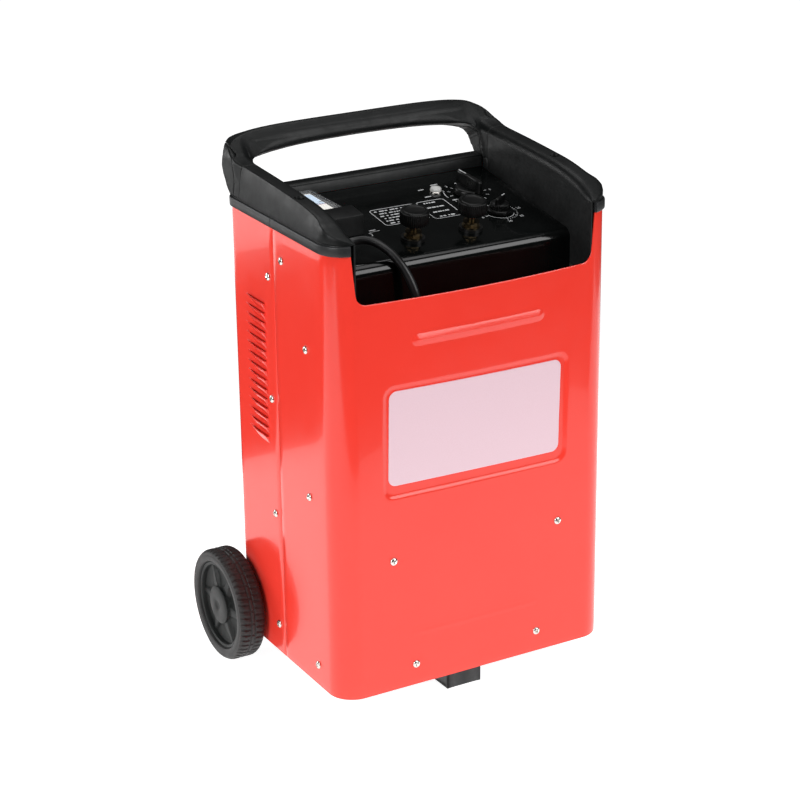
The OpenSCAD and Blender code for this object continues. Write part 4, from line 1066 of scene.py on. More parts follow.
def handle():
    fine = list(np.arange(98, 166.5, 1.15))
    xs = np.array(sorted(set([-x for x in fine] + fine + list(np.linspace(-95, 95, 39)))))
    ys = np.concatenate([[86.9], np.arange(87.9, 153.5, 1.1)])
    zs = np.concatenate([[494.0], np.arange(494.95, 557.5, 1.05)])

    def front(x, y, z):
        return rmax(handle_field(x, y, z), seam_field(x, y, z) + 0.14, 0.55)

    def rear(x, y, z):
        return rmax(handle_field(x, y, z), 0.14 - seam_field(x, y, z), 0.55)
    bm = bmesh.new()
    surface_net(bm, front, xs, ys, zs)
    for s in (-1, 1):  # lip that carries on the cheek's skirt
        loft(bm, [[(s * x, y, z) for x, z in ((137.4, skirt_low(y) + 0.2), (137.6, skirt_low(y)), (139.0, skirt_low(y)), (139.1, 496.0), (137.36, 496.0))]
                  for y in (88.04, 90, 94, 98.4)])
    finish_object("handle_front_moulding", bm, "moulding", "cabinet", smooth=180, replaces=("handle_front_half",))
    bm = bmesh.new()
    surface_net(bm, rear, xs, ys, zs)
    finish_object("handle_rear_moulding", bm, "moulding", "cabinet", smooth=180, replaces=("handle_rear_half",))


handle()


def rear_rail():
    bm = bmesh.new()
    prof = [(100.0, pz(100) + 0.4), (100.0, 494.2), (100.5, 494.9), (101.3, 495.0), (101.6, 495.2), (101.7, 496.2), (102.4, 497.2), (103.4, 497.5), (115.4, 497.5),
            (117.4, 496.9), (118, 496.0), (117.9, 495.25), (113.2, 495.25), (113.2, pz(100) + 0.4)]
    secs = [[(x, y, z) for y, z in prof] for x in np.linspace(-137.2, 137.2, 9)]
    loft(bm, secs)
    finish_object("rear_rail_moulding", bm, "moulding", "cabinet", smooth=40, replaces=("rear_rail",))


rear_rail()


# ---------------------------------------------------------------- control panel
def control_panel():
    bm = bmesh.new()
    cy, r = -66.0, 10.0
    cz = pz(cy) - r / CT
    outer = [(100.5, pz(100.5)), (99.6, pz(99.6))]
    outer += [(y, pz(y)) for y in (80, 50, 20, -10, -40, -58)]
    for k in range(0, 13):
        a = math.radians(90 + 8.6 + (180 - 98.6) * k / 12)
        outer.append((cy + r * math.cos(a), cz + r * math.sin(a)))
    outer += [(-76, z) for z in (440, 425, 410, 404.4)] + [(-75.8, 404.0)]
    inner = [(-74.2, 404.0), (-74.0, 404.4)]
    inner += [(-74, z) for z in (425, 440)]
    for k in range(12, -1, -1):
        a = math.radians(90 + 8.6 + (180 - 98.6) * k / 12)
        inner.append((cy + (r - 2) * math.cos(a), cz + (r - 2) * math.sin(a)))
    inner += [(y, pz(y) - 2 / CT) for y in (-40, 20, 80, 100.5)]
    prof = outer + inner
    xs = [-137.25, -136.95, -130, -90, -45, 0, 45, 90, 130, 136.95, 137.25]
    secs = []
    for x in xs:
        e = 0.3 if abs(x) > 137.1 else 0.0
        secs.append([(x, y, z - e * 0.6 if k < len(outer) else z) for k, (y, z) in enumerate(prof)])
    loft(bm, secs)
    return finish_object("control_panel_sheet", bm, "gloss", "cabinet", smooth=40, replaces=("control_panel",))


control_panel()


def stroke(bm, pts, w, f, z0=0.04, z1=0.12, closed=False):
    """Thin raised ink line along points on the panel."""
    n = len(pts)
    L, R = [], []
    for i, p in enumerate(pts):
        if closed:
            a, b = pts[i - 1], pts[(i + 1) % n]
        else:
            a, b = pts[max(i - 1, 0)], pts[min(i + 1, n - 1)]
        d = Vector((b[0] - a[0], b[1] - a[1]))
        if d.length < 1e-9:
            d = Vector((1, 0))
        d.normalize()
        L.append((p[0] - d.y * w / 2, p[1] + d.x * w / 2))
        R.append((p[0] + d.y * w / 2, p[1] - d.x * w / 2))
    secs = [[(l[0], l[1], z0), (l[0], l[1], z1), (r_[0], r_[1], z1), (r_[0], r_[1], z0)] for l, r_ in zip(L, R)]
    loft(bm, secs, f=f, loop=closed)


def digits(items, f_of, name):
    """Generic plain numbers as thin raised print. items are (text, x, y, size, turn)."""
    out = bmesh.new()
    for text, x, y, size, turn in items:
        cu = bpy.data.curves.new("t", "FONT")
        cu.body = text
        cu.size = size
        cu.align_x, cu.align_y = "CENTER", "CENTER"
        cu.extrude = 0.04
        cu.resolution_u = 3
        ob = bpy.data.objects.new("t", cu)
        scene.collection.objects.link(ob)
        bpy.context.view_layer.update()
        me = ob.evaluated_get(bpy.context.evaluated_depsgraph_get()).to_mesh()
        c, s = math.cos(math.radians(turn)), math.sin(math.radians(turn))
        f = f_of
        base = len(out.verts)
        vs = []
        for v in me.vertices:
            px_, py_ = v.co.x, v.co.y
            vs.append(out.verts.new(F(f((x + px_ * c - py_ * s, y + px_ * s + py_ * c, 0.09 + v.co.z)))))
        for p in me.polygons:
            try:
                out.faces.new([vs[i] for i in p.vertices])
            except ValueError:
                pass
        bpy.data.objects.remove(ob)
        bpy.data.curves.remove(cu)
    return out


def panel_print():
    """White printed scales: a ruled table frame with bars, ticks and plain numbers round the two dials."""
    bm = bmesh.new()
    f0 = pan(0, 0)

    def at(x, y):  # panel coordinates measured along x and horizontal y
        return (x, y / CT)
    # table frame between meter and selector (lines and bars only)
    def rounded(xa, xb, ya, yb, r=4.0):
        out = []
        for cx, cy, a0 in ((xb - r, yb - r, 0), (xa + r, yb - r, 90), (xa + r, ya + r, 180), (xb - r, ya + r, 270)):
            out += [at(cx + r * math.cos(math.radians(a0 + k)), cy + r * math.sin(math.radians(a0 + k))) for k in (0, 22, 45, 68, 90)]
        return out
    rng = np.random.RandomState(7)
    for xa, xb, ya, yb, rows in ((-37.5, 15.0, 2.0, 41.0, 6), (19.0, 52.0, -2.0, 41.0, 4)):
        stroke(bm, rounded(xa, xb, ya, yb), 0.8, f0, closed=True)
        for row in range(rows):
            y = yb - 5.0 - row * (yb - ya - 9.0) / (rows - 1)
            x = xa + 3.5 + rng.uniform(0, 5)
            while x < xb - 9:
                w = rng.choice([2.0, 3.0, 4.6, 5.6])
                stroke(bm, [at(x, y), at(x + w, y)], 2.3 if rows < 6 else 2.0, f0)
                x += w + rng.choice([1.1, 1.1, 3.0])
    # small mark near the left terminal
    stroke(bm, [at(-62, -6), at(-50, -5.4)], 0.7, f0)
    stroke(bm, [at(-61, -2.5), at(-53.5, -2.3)], 1.6, f0)
    arc = [at(-66 + 4 * math.cos(math.radians(a)), -11 + 4 * math.sin(math.radians(a))) for a in range(-60, 61, 15)]
    stroke(bm, arc, 0.8, f0)
    # ring of marks round the selector
    sx, sy = 85.5, 43.0
    for k, a in enumerate((-60, -30, 0, 30, 60, 90, 120, 150, 180, 210)):
        ca, sa = math.cos(math.radians(a)), math.sin(math.radians(a))
        stroke(bm, [(sx + 19.0 * ca, sy / CT + 19.0 * sa), (sx + 22.5 * ca, sy / CT + 22.5 * sa)], 0.8, f0)
    for a0, a1, r in ((158, 186, 26.5), (28, 52, 26.0)):
        stroke(bm, [(sx + r * math.cos(math.radians(a)), sy / CT + r * math.sin(math.radians(a))) for a in np.linspace(a0, a1, 10)], 0.9, f0)
    for px_, py_, w in ((57, 75, 9), (38, 68, 7), (36, 50, 8), (60, 33, 6), (104, 70, 6)):
        stroke(bm, [at(px_, py_), at(px_ + w, py_ + 0.4)], 1.5, f0)
    # timer dial: ring line, minute ticks and bold ticks
    tx, ty = 91.0, -11.0
    for k in range(0, 31):
        a = math.radians(215 - 9.6 * k - 20)
        r0, r1 = (17.4, 20.2) if k % 5 == 0 else (18.4, 20.0)
        stroke(bm, [(tx + r0 * math.cos(a), ty / CT + r0 * math.sin(a)), (tx + r1 * math.cos(a), ty / CT + r1 * math.sin(a))],
               0.9 if k % 5 == 0 else 0.55, f0)
    stroke(bm, [(tx + 15.6 * math.cos(math.radians(a)), ty / CT + 15.6 * math.sin(math.radians(a))) for a in np.linspace(190, 330, 26)], 0.6, f0)
    num = digits([(str(v), tx + 24.4 * math.cos(math.radians(215 - 9.6 * k - 20)), ty / CT + 24.4 * math.sin(math.radians(215 - 9.6 * k - 20)), 5.2, 0)
                  for v, k in ((0, 0), (5, 5), (10, 10), (15, 15), (20, 20), (25, 25), (30, 30))] +
                 [(str(v), sx + 27.0 * math.cos(math.radians(a)), sy / CT + 27.0 * math.sin(math.radians(a)), 5.6, 0)
                  for v, a in ((1, 210), (2, 150), (3, 120), (4, 90), (5, 60), (6, 0))], f0, "n")
    me = bpy.data.meshes.new("n")
    num.to_mesh(me)
    num.free()
    bm.from_mesh(me)
    return finish_object("panel_print", bm, "ink", "cabinet", smooth=20)


panel_print()


# ---------------------------------------------------------------- knobs on the panel
def terminal_knob(x, name, node, body):
    bm = bmesh.new()
    f = pan(x, -36.4)
    teeth, per = 42, 6
    n = teeth * per
    prof = [(4.1, 31.3, 0), (4.1, 17.5, 0), (4.4, 17.25, 0), (8.2, 17.25, 0), (11.4, 17.25, 0), (12.1, 17.35, 0), (13.4, 18.0, 0.2), (14.5, 18.8, 0.8), (14.85, 19.5, 1),
            (14.95, 24, 1), (14.95, 30.8, 1), (14.9, 31.6, 1), (14.5, 32.2, 0.5), (14.1, 32.6, 0), (13.6, 33.1, 0), (12.9, 33.5, 0), (11.6, 33.4, 0), (11.2, 32.9, 0),
            (10.4, 32.7, 0), (4, 32.7, 0), (0, 32.7, 0)]
    rings = []
    for i in range(n):
        a = 2 * math.pi * i / n
        ph = (i % per) / per
        tooth = 0.55 * (1 - abs(2 * ph - 1) ** 1.6)
        rings.append(add_verts(bm, [((r + (tooth - 0.35) * k) * math.cos(a), (r + (tooth - 0.35) * k) * math.sin(a), z) for r, z, k in prof], f))
    m = len(prof)
    for k in range(n):
        a, b = rings[k], rings[(k + 1) % n]
        for i in range(m - 1):
            if prof[i + 1][0] < 1e-6:
                bm.faces.new([a[i], a[i + 1], b[i]])
            else:
                bm.faces.new([a[i], a[i + 1], b[i + 1], b[i]])
    top = add_verts(bm, [(4.1 * math.cos(2 * math.pi * i / n), 4.1 * math.sin(2 * math.pi * i / n), 31.3) for i in range(n)], f)
    bm.faces.new(top)
    return finish_object(name, bm, "knob", body, smooth=40, replaces=(node,))


terminal_knob(-28.6, "left_terminal_knurled", "left_terminal_knob", "left_terminal")
terminal_knob(40.3, "right_terminal_knurled", "right_terminal_knob", "right_terminal")


def selector():
    bm = bmesh.new()
    f = pan(85.5, 43)
    n = 96
    prof = [(3.1, 12.0), (3.1, 0.7), (3.4, 0.6), (15.4, 0.6), (15.95, 1.1), (15.9, 2.4), (15.2, 5.6), (14.6, 6.9), (13.8, 7.5), (12.5, 7.7), (6, 7.8), (0, 7.8)]
    lathe(bm, prof, n, f)
    # bar grip: rounded ends, waisted sides, crowned top
    secs = []
    rot = math.radians(8)
    for z, sc in ((7.0, 1.02), (9.0, 1.0), (12.0, 0.985), (16.0, 0.965), (18.6, 0.95), (19.7, 0.90), (20.3, 0.80), (20.4, 0.55)):
        ring = []
        for k in range(64):
            a = 2 * math.pi * k / 64
            L, W = 20.6, 3.0
            y = L * math.copysign(abs(math.sin(a)) ** 0.62, math.sin(a))
            waist = 1 - 0.22 * math.exp(-(y / 8.0) ** 2) + 0.10 * math.exp(-((abs(y) - 15) / 5.0) ** 2)
            x = W * math.copysign(abs(math.cos(a)) ** 0.62, math.cos(a)) * waist
            s = sc if z < 19 else sc
            xx, yy = x * (s if z > 18.7 else s), y * (1 - (1 - s) * 0.35)
            ring.append((xx * math.cos(rot) - yy * math.sin(rot), xx * math.sin(rot) + yy * math.cos(rot), z - 0.6 * (y / L) ** 4 * (1 if z > 15 else 0)))
        secs.append(ring)
    loft(bm, secs, f=f)
    # pointer line on the grip
    finish_object("selector_bar_knob", bm, "knob", "selector", smooth=42, replaces=("selector_knob",))
    bm = bmesh.new()
    stroke(bm, [(-18.6 * math.sin(rot), 18.6 * math.cos(rot)), (-6.5 * math.sin(rot), 6.5 * math.cos(rot))], 1.0, f, z0=20.0, z1=20.45)
    finish_object("selector_pointer_line", bm, "ink", "selector", smooth=20)


selector()


def timer():
    bm = bmesh.new()
    f = pan(91, -11)
    n = 180
    prof = [(3.1, 10.0, 0), (3.1, 0.8, 0), (3.4, 0.6, 0), (12.2, 0.6, 0), (12.5, 1.0, 0), (12.5, 3.9, 0), (12.1, 4.4, 0), (10.8, 5.0, 1), (9.9, 9.9, 1), (9.5, 10.7, 0.4),
            (8.6, 11.2, 0), (5, 11.3, 0), (0, 11.3, 0)]
    rings = []
    for i in range(n):
        a = 2 * math.pi * i / n
        rib = 0.35 * math.cos(30 * a)
        rings.append(add_verts(bm, [((r + rib * k) * math.cos(a), (r + rib * k) * math.sin(a), z) for r, z, k in prof], f))
    m = len(prof)
    for k in range(n):
        a, b = rings[k], rings[(k + 1) % n]
        for i in range(m - 1):
            if prof[i + 1][0] < 1e-6:
                bm.faces.new([a[i], a[i + 1], b[i]])
            else:
                bm.faces.new([a[i], a[i + 1], b[i + 1], b[i]])
    rot = math.radians(-60)
    secs = []
    for z, sw, sl in ((10.8, 1.0, 1.0), (15.8, 0.92, 0.98), (17.3, 0.8, 0.95), (17.95, 0.62, 0.9), (18.1, 0.35, 0.8)):
        ring = []
        for k in range(48):
            a = 2 * math.pi * k / 48
            y = 9.5 * math.copysign(abs(math.sin(a)) ** 0.5, math.sin(a)) * sl
            x = 2.6 * math.copysign(abs(math.cos(a)) ** 0.5, math.cos(a)) * sw * (1 - 0.25 * (y > 0) * (y / 9.5))
            ring.append((x * math.cos(rot) - y * math.sin(rot), x * math.sin(rot) + y * math.cos(rot), z))
        secs.append(ring)
    loft(bm, secs, f=f)
    finish_object("timer_pointer_knob", bm, "knob", "timer", smooth=42, replaces=("timer_knob",))
    bm = bmesh.new()
    stroke(bm, [(-8.5 * math.sin(rot), 8.5 * math.cos(rot)), (-2.2 * math.sin(rot), 2.2 * math.cos(rot))], 0.9, f, z0=17.7, z1=18.16)
    finish_object("timer_pointer_line", bm, "ink", "timer", smooth=20)


timer()


def lamp():
    bm = bmesh.new()
    f = pan(55, 60)
    prof = [(3.9, -2.8), (3.95, 1.2), (5.9, 1.25), (6.05, 1.6)]
    n = 96
    outer = [(0, -2.9, 0), (3.9, -2.8, 0), (3.95, 1.15, 0), (5.85, 1.2, 0), (6.0, 1.6, 1), (5.85, 3.0, 1), (5.5, 4.0, 1), (4.7, 4.7, 0.6), (3.4, 5.1, 0), (1.6, 5.3, 0), (0, 5.35, 0)]
    rings = []
    for i in range(n):
        a = 2 * math.pi * i / n
        rib = 0.22 * math.cos(16 * a)
        rings.append(add_verts(bm, [((r + rib * k) * math.cos(a), (r + rib * k) * math.sin(a), z) for r, z, k in outer], f))
    m = len(outer)
    for k in range(n):
        a, b = rings[k], rings[(k + 1) % n]
        for i in range(m - 1):
            if outer[i][0] < 1e-6:
                bm.faces.new([a[i], a[i + 1], b[i + 1]])
            elif outer[i + 1][0] < 1e-6:
                bm.faces.new([a[i], a[i + 1], b[i]])
            else:
                bm.faces.new([a[i], a[i + 1], b[i + 1], b[i]])
    finish_object("pilot_lamp_dome", bm, "lens", "cabinet", smooth=40, replaces=("pilot_lamp_lens",))
    bm = bmesh.new()
    lathe(bm, [(4.05, -2.0), (4.05, 0.9), (4.4, 1.15), (6.4, 1.2), (6.95, 0.8), (7.0, 0.05), (5.1, 0.0), (5.1, -23.6), (4.6, -24.0), (4.05, -23.6), (4.05, -2.0)], 64, f)
    finish_object("pilot_lamp_bezel", bm, "nickel", "cabinet", smooth=35, replaces=("pilot_lamp_body",))


lamp()


# ---------------------------------------------------------------- ammeter
def ammeter():
    bm = bmesh.new()
    x0, x1 = -134.0, -70.0

    def box_prof(prof, xa, xb, e):
        return [[(xa + e, y, z) for y, z in prof], [(xb - e, y, z) for y, z in prof]]
    # base frame and black front mask
    base = [(88, pz(88) + 0.1), (88, pz(88) + 4.0), (16.5, pz(16.5) + 4.0), (16.5, pz(16.5) + 22.0), (-8.5, pz(-8.5) + 22.0), (-8.5, pz(-8.5) + 0.1)]
    loft(bm, box_prof(base, x0, x1, 0))
    finish_object("ammeter_case", bm, "meter", "cabinet", smooth=30, replaces=("ammeter_body",), bevel=(0.9, 3, 40))
    # clear cover: a wedge shell, open below
    bm = bmesh.new()

    def ring(xa, xb, ya, yb, za, zb):
        return [(xa, ya, za), (xb, ya, za), (xb, yb, zb), (xa, yb, zb)]
    xc = -80.5
    o0 = ring(x0, xc, 16.7, 88, pz(16.7) + 4.15, pz(88) + 4.15)
    o1 = ring(x0, xc, 16.7, 88, pz(16.7) + 21.1, pz(88) + 11.5)
    i1 = ring(x0 + 1.6, xc - 1.6, 18.3, 86.4, pz(18.3) + 19.4, pz(86.4) + 9.8)
    i0 = ring(x0 + 1.6, xc - 1.6, 18.3, 86.4, pz(18.3) + 4.15, pz(86.4) + 4.15)
    R = [add_verts(bm, r_) for r_ in (o0, o1, i1, i0)]
    for i in range(4):
        j = (i + 1) % 4
        bm.faces.new([R[0][i], R[0][j], R[1][j], R[1][i]])
        bm.faces.new([R[2][i], R[3][i], R[3][j], R[2][j]])
        bm.faces.new([R[0][i], R[3][i], R[3][j], R[0][j]])
    bm.faces.new(R[1])
    bm.faces.new(R[2])
    finish_object("ammeter_clear_cover", bm, "clear", "cabinet", smooth=30, replaces=("ammeter_cover",), bevel=(0.7, 3, 40))
    # scale plate with a bluish upper band, both glowing as painted light in the case's shade, a thin pink line and
    # generic ticks
    bm = bmesh.new()
    lo, hi = (18.8, pz(18.8) + 14.5), (85.5, pz(85.5) + 7.4)

    def sp(x, y, lift=0.0):
        t = (y - lo[0]) / (hi[0] - lo[0])
        return (x, y, lo[1] + (hi[1] - lo[1]) * t + 1.0 + lift)
    xa, xb = -131.0, -83.1
    top = [sp(x, y) for x, y in ((xa, 18.8), (xb, 18.8), (xb, 85.5), (xa, 85.5))]
    bot = [(p[0], p[1], p[2] - 1.0) for p in top]
    loft(bm, [bot, top])
    finish_object("ammeter_scale_plate", bm, "scale", "cabinet", smooth=30, replaces=("ammeter_scale",), bevel=(0.2, 2, 40))
    bm = bmesh.new()
    sl = math.atan2(hi[1] - lo[1], hi[0] - lo[0])

    def f(p):
        return sp(p[0], p[1], p[2])
    stroke(bm, [(xa + 0.6, 66.5), (xb - 0.6, 66.5)], 33.0, f, 0.02, 0.06)
    finish_object("ammeter_scale_band", bm, "blue", "cabinet", smooth=20)
    bm = bmesh.new()
    stroke(bm, [(xa + 0.6, 49.0), (xb - 0.6, 49.0)], 1.6, f, 0.02, 0.07)
    finish_object("ammeter_scale_line", bm, "pink", "cabinet", smooth=20)
    bm = bmesh.new()
    px_, py_ = -106.5, 16.0
    for k in range(0, 21):
        a = math.radians(128 - 76 * k / 20.0)
        r0, r1 = (36, 41) if k % 5 == 0 else (38.5, 41)
        pts = [(px_ + r * math.cos(a), py_ + r * math.sin(a)) for r in (r0, r1)]
        if all(xa + 1 < p[0] < xb - 1 and p[1] < 83 for p in pts):
            stroke(bm, pts, 0.5, f, 0.05, 0.11)
    stroke(bm, [(px_ + 41 * math.cos(math.radians(a)), py_ + 41 * math.sin(math.radians(a))) for a in np.linspace(122, 58, 24)], 0.5, f, 0.05, 0.11)
    num = digits([(str(v), px_ + 46 * math.cos(math.radians(a)), py_ + 46 * math.sin(math.radians(a)), 5.0, a - 90)
                  for v, a in ((0, 116), (10, 102), (20, 88), (30, 74), (40, 62))], f, "n")
    me = bpy.data.meshes.new("n")
    num.to_mesh(me)
    num.free()
    bm.from_mesh(me)
    finish_object("ammeter_scale_marks", bm, "inkblack", "cabinet", smooth=20)
    # needle: tapered pointer on its hub
    bm = bmesh.new()
    fn = pan(-106.5, 16)
    lathe(bm, [(0, 9.8), (2.6, 9.8), (3.0, 10.2), (3.0, 11.6), (2.4, 12.2), (0, 12.2)], 32, fn)
    rot = math.radians(38)
    secs = []
    for t, w, h in ((-5.0, 1.2, 0.6), (0, 1.0, 0.7), (12, 0.75, 0.6), (28, 0.5, 0.5), (35.4, 0.2, 0.4)):
        secs.append([(-w * math.cos(rot) - t * math.sin(rot), -w * math.sin(rot) + t * math.cos(rot), 14.0),
                     (w * math.cos(rot) - t * math.sin(rot), w * math.sin(rot) + t * math.cos(rot), 14.0),
                     (w * 0.5 * math.cos(rot) - t * math.sin(rot), w * 0.5 * math.sin(rot) + t * math.cos(rot), 14.0 + h),
                     (-w * 0.5 * math.cos(rot) - t * math.sin(rot), -w * 0.5 * math.sin(rot) + t * math.cos(rot), 14.0 + h)])
    loft(bm, secs, f=fn)
    finish_object("ammeter_pointer", bm, "inkblack", "needle", smooth=30, replaces=("ammeter_needle",))


ammeter()


# ---------------------------------------------------------------- screws
def screw_template():
    """Pan head with a cross recess, axis +z, seat at z 0 (mm)."""
    bm = bmesh.new()
    prof = [(0, -0.4), (4.1, -0.4), (4.25, -0.1), (4.25, 0.9), (4.1, 1.35), (3.6, 1.85), (2.8, 2.3), (1.7, 2.62), (0, 2.75)]
    n = 36
    rings = [[bm.verts.new((r * math.cos(2 * math.pi * i / n), r * math.sin(2 * math.pi * i / n), z)) for r, z in prof] for i in range(n)]
    for k in range(n):
        a, b = rings[k], rings[(k + 1) % n]
        for i in range(len(prof) - 1):
            if prof[i][0] < 1e-6:
                bm.faces.new([a[i], a[i + 1], b[i + 1]])
            elif prof[i + 1][0] < 1e-6:
                bm.faces.new([a[i], a[i + 1], b[i]])
            else:
                bm.faces.new([a[i], a[i + 1], b[i + 1], b[i]])
    bmesh.ops.remove_doubles(bm, verts=bm.verts, dist=1e-5)
    bmesh.ops.recalc_face_normals(bm, faces=bm.faces)
    me = bpy.data.meshes.new("s")
    bm.to_mesh(me)
    bm.free()
    o = bpy.data.objects.new("s", me)
    scene.collection.objects.link(o)
    cutters = []
    for a in (0, 90):
        cb = bmesh.new()
        c, s = math.cos(math.radians(a)), math.sin(math.radians(a))
        lo = [(-0.9, -0.3), (0.9, -0.3), (0.9, 0.3), (-0.9, 0.3)]
        hi = [(-2.9, -0.62), (2.9, -0.62), (2.9, 0.62), (-2.9, 0.62)]
        v0 = [cb.verts.new((x * c - y * s, x * s + y * c, 0.6)) for x, y in lo]
        v1 = [cb.verts.new((x * c - y * s, x * s + y * c, 3.4)) for x, y in hi]
        cb.faces.new(v0[::-1])
        cb.faces.new(v1)
        for i in range(4):
            cb.faces.new([v0[i], v0[(i + 1) % 4], v1[(i + 1) % 4], v1[i]])
        cme = bpy.data.meshes.new("c")
        cb.to_mesh(cme)
        cb.free()
        co = bpy.data.objects.new("c", cme)
        scene.collection.objects.link(co)
        md = o.modifiers.new("b", "BOOLEAN")
        md.operation, md.object, md.solver = "DIFFERENCE", co, "EXACT"
        cutters.append(co)
    bpy.context.view_layer.update()
    me2 = o.evaluated_get(bpy.context.evaluated_depsgraph_get()).to_mesh()
    verts = [tuple(v.co) for v in me2.vertices]
    faces = [tuple(p.vertices) for p in me2.polygons]
    for x in [o] + cutters:
        bpy.data.objects.remove(x)
    return verts, faces


def screws():
    verts, faces = screw_template()
    bm = bmesh.new()
    places = []
    for x, z in ((-100.3, 148.9), (100.3, 148.9), (-74.7, 24.3), (74.7, 24.3)):
        places.append(((x, face_y(x, z) - relief(x, z), z), (0, -1, 0)))
    for s in (-1, 1):
        for y, z in ((-6, 454), (-55, 374), (-55, 213.3), (-65, 24.6), (25, 429), (25, 295), (25, 164.5), (25, 34)):
            places.append(((s * HW, y, z), (s, 0, 0)))
        places.append(((s * 151.0, -25, 511.0), (0, 0, 1)))
    turn = 17.0
    for (x, y, z), nrm in places:
        n = Vector(nrm)
        u = n.cross(Vector((0, 0, 1)))
        if u.length < 0.1:
            u = Vector((1, 0, 0))
        u.normalize()
        v = n.cross(u)
        turn += 41.0
        c, s = math.cos(math.radians(turn)), math.sin(math.radians(turn))
        uu, vv = u * c + v * s, v * c - u * s
        vs = []
        for p in verts:
            q = Vector((x, y, z)) + uu * p[0] + vv * p[1] + n * p[2]
            vs.append(bm.verts.new(F(q)))
        for f_ in faces:
            try:
                bm.faces.new([vs[i] for i in f_])
            except ValueError:
                pass
    finish_object("pan_head_screws", bm, "nickel", "cabinet", smooth=32, replaces=("case_screws",))


screws()


# ---------------------------------------------------------------- wheels
AY, AZ = 109.6, 29.5


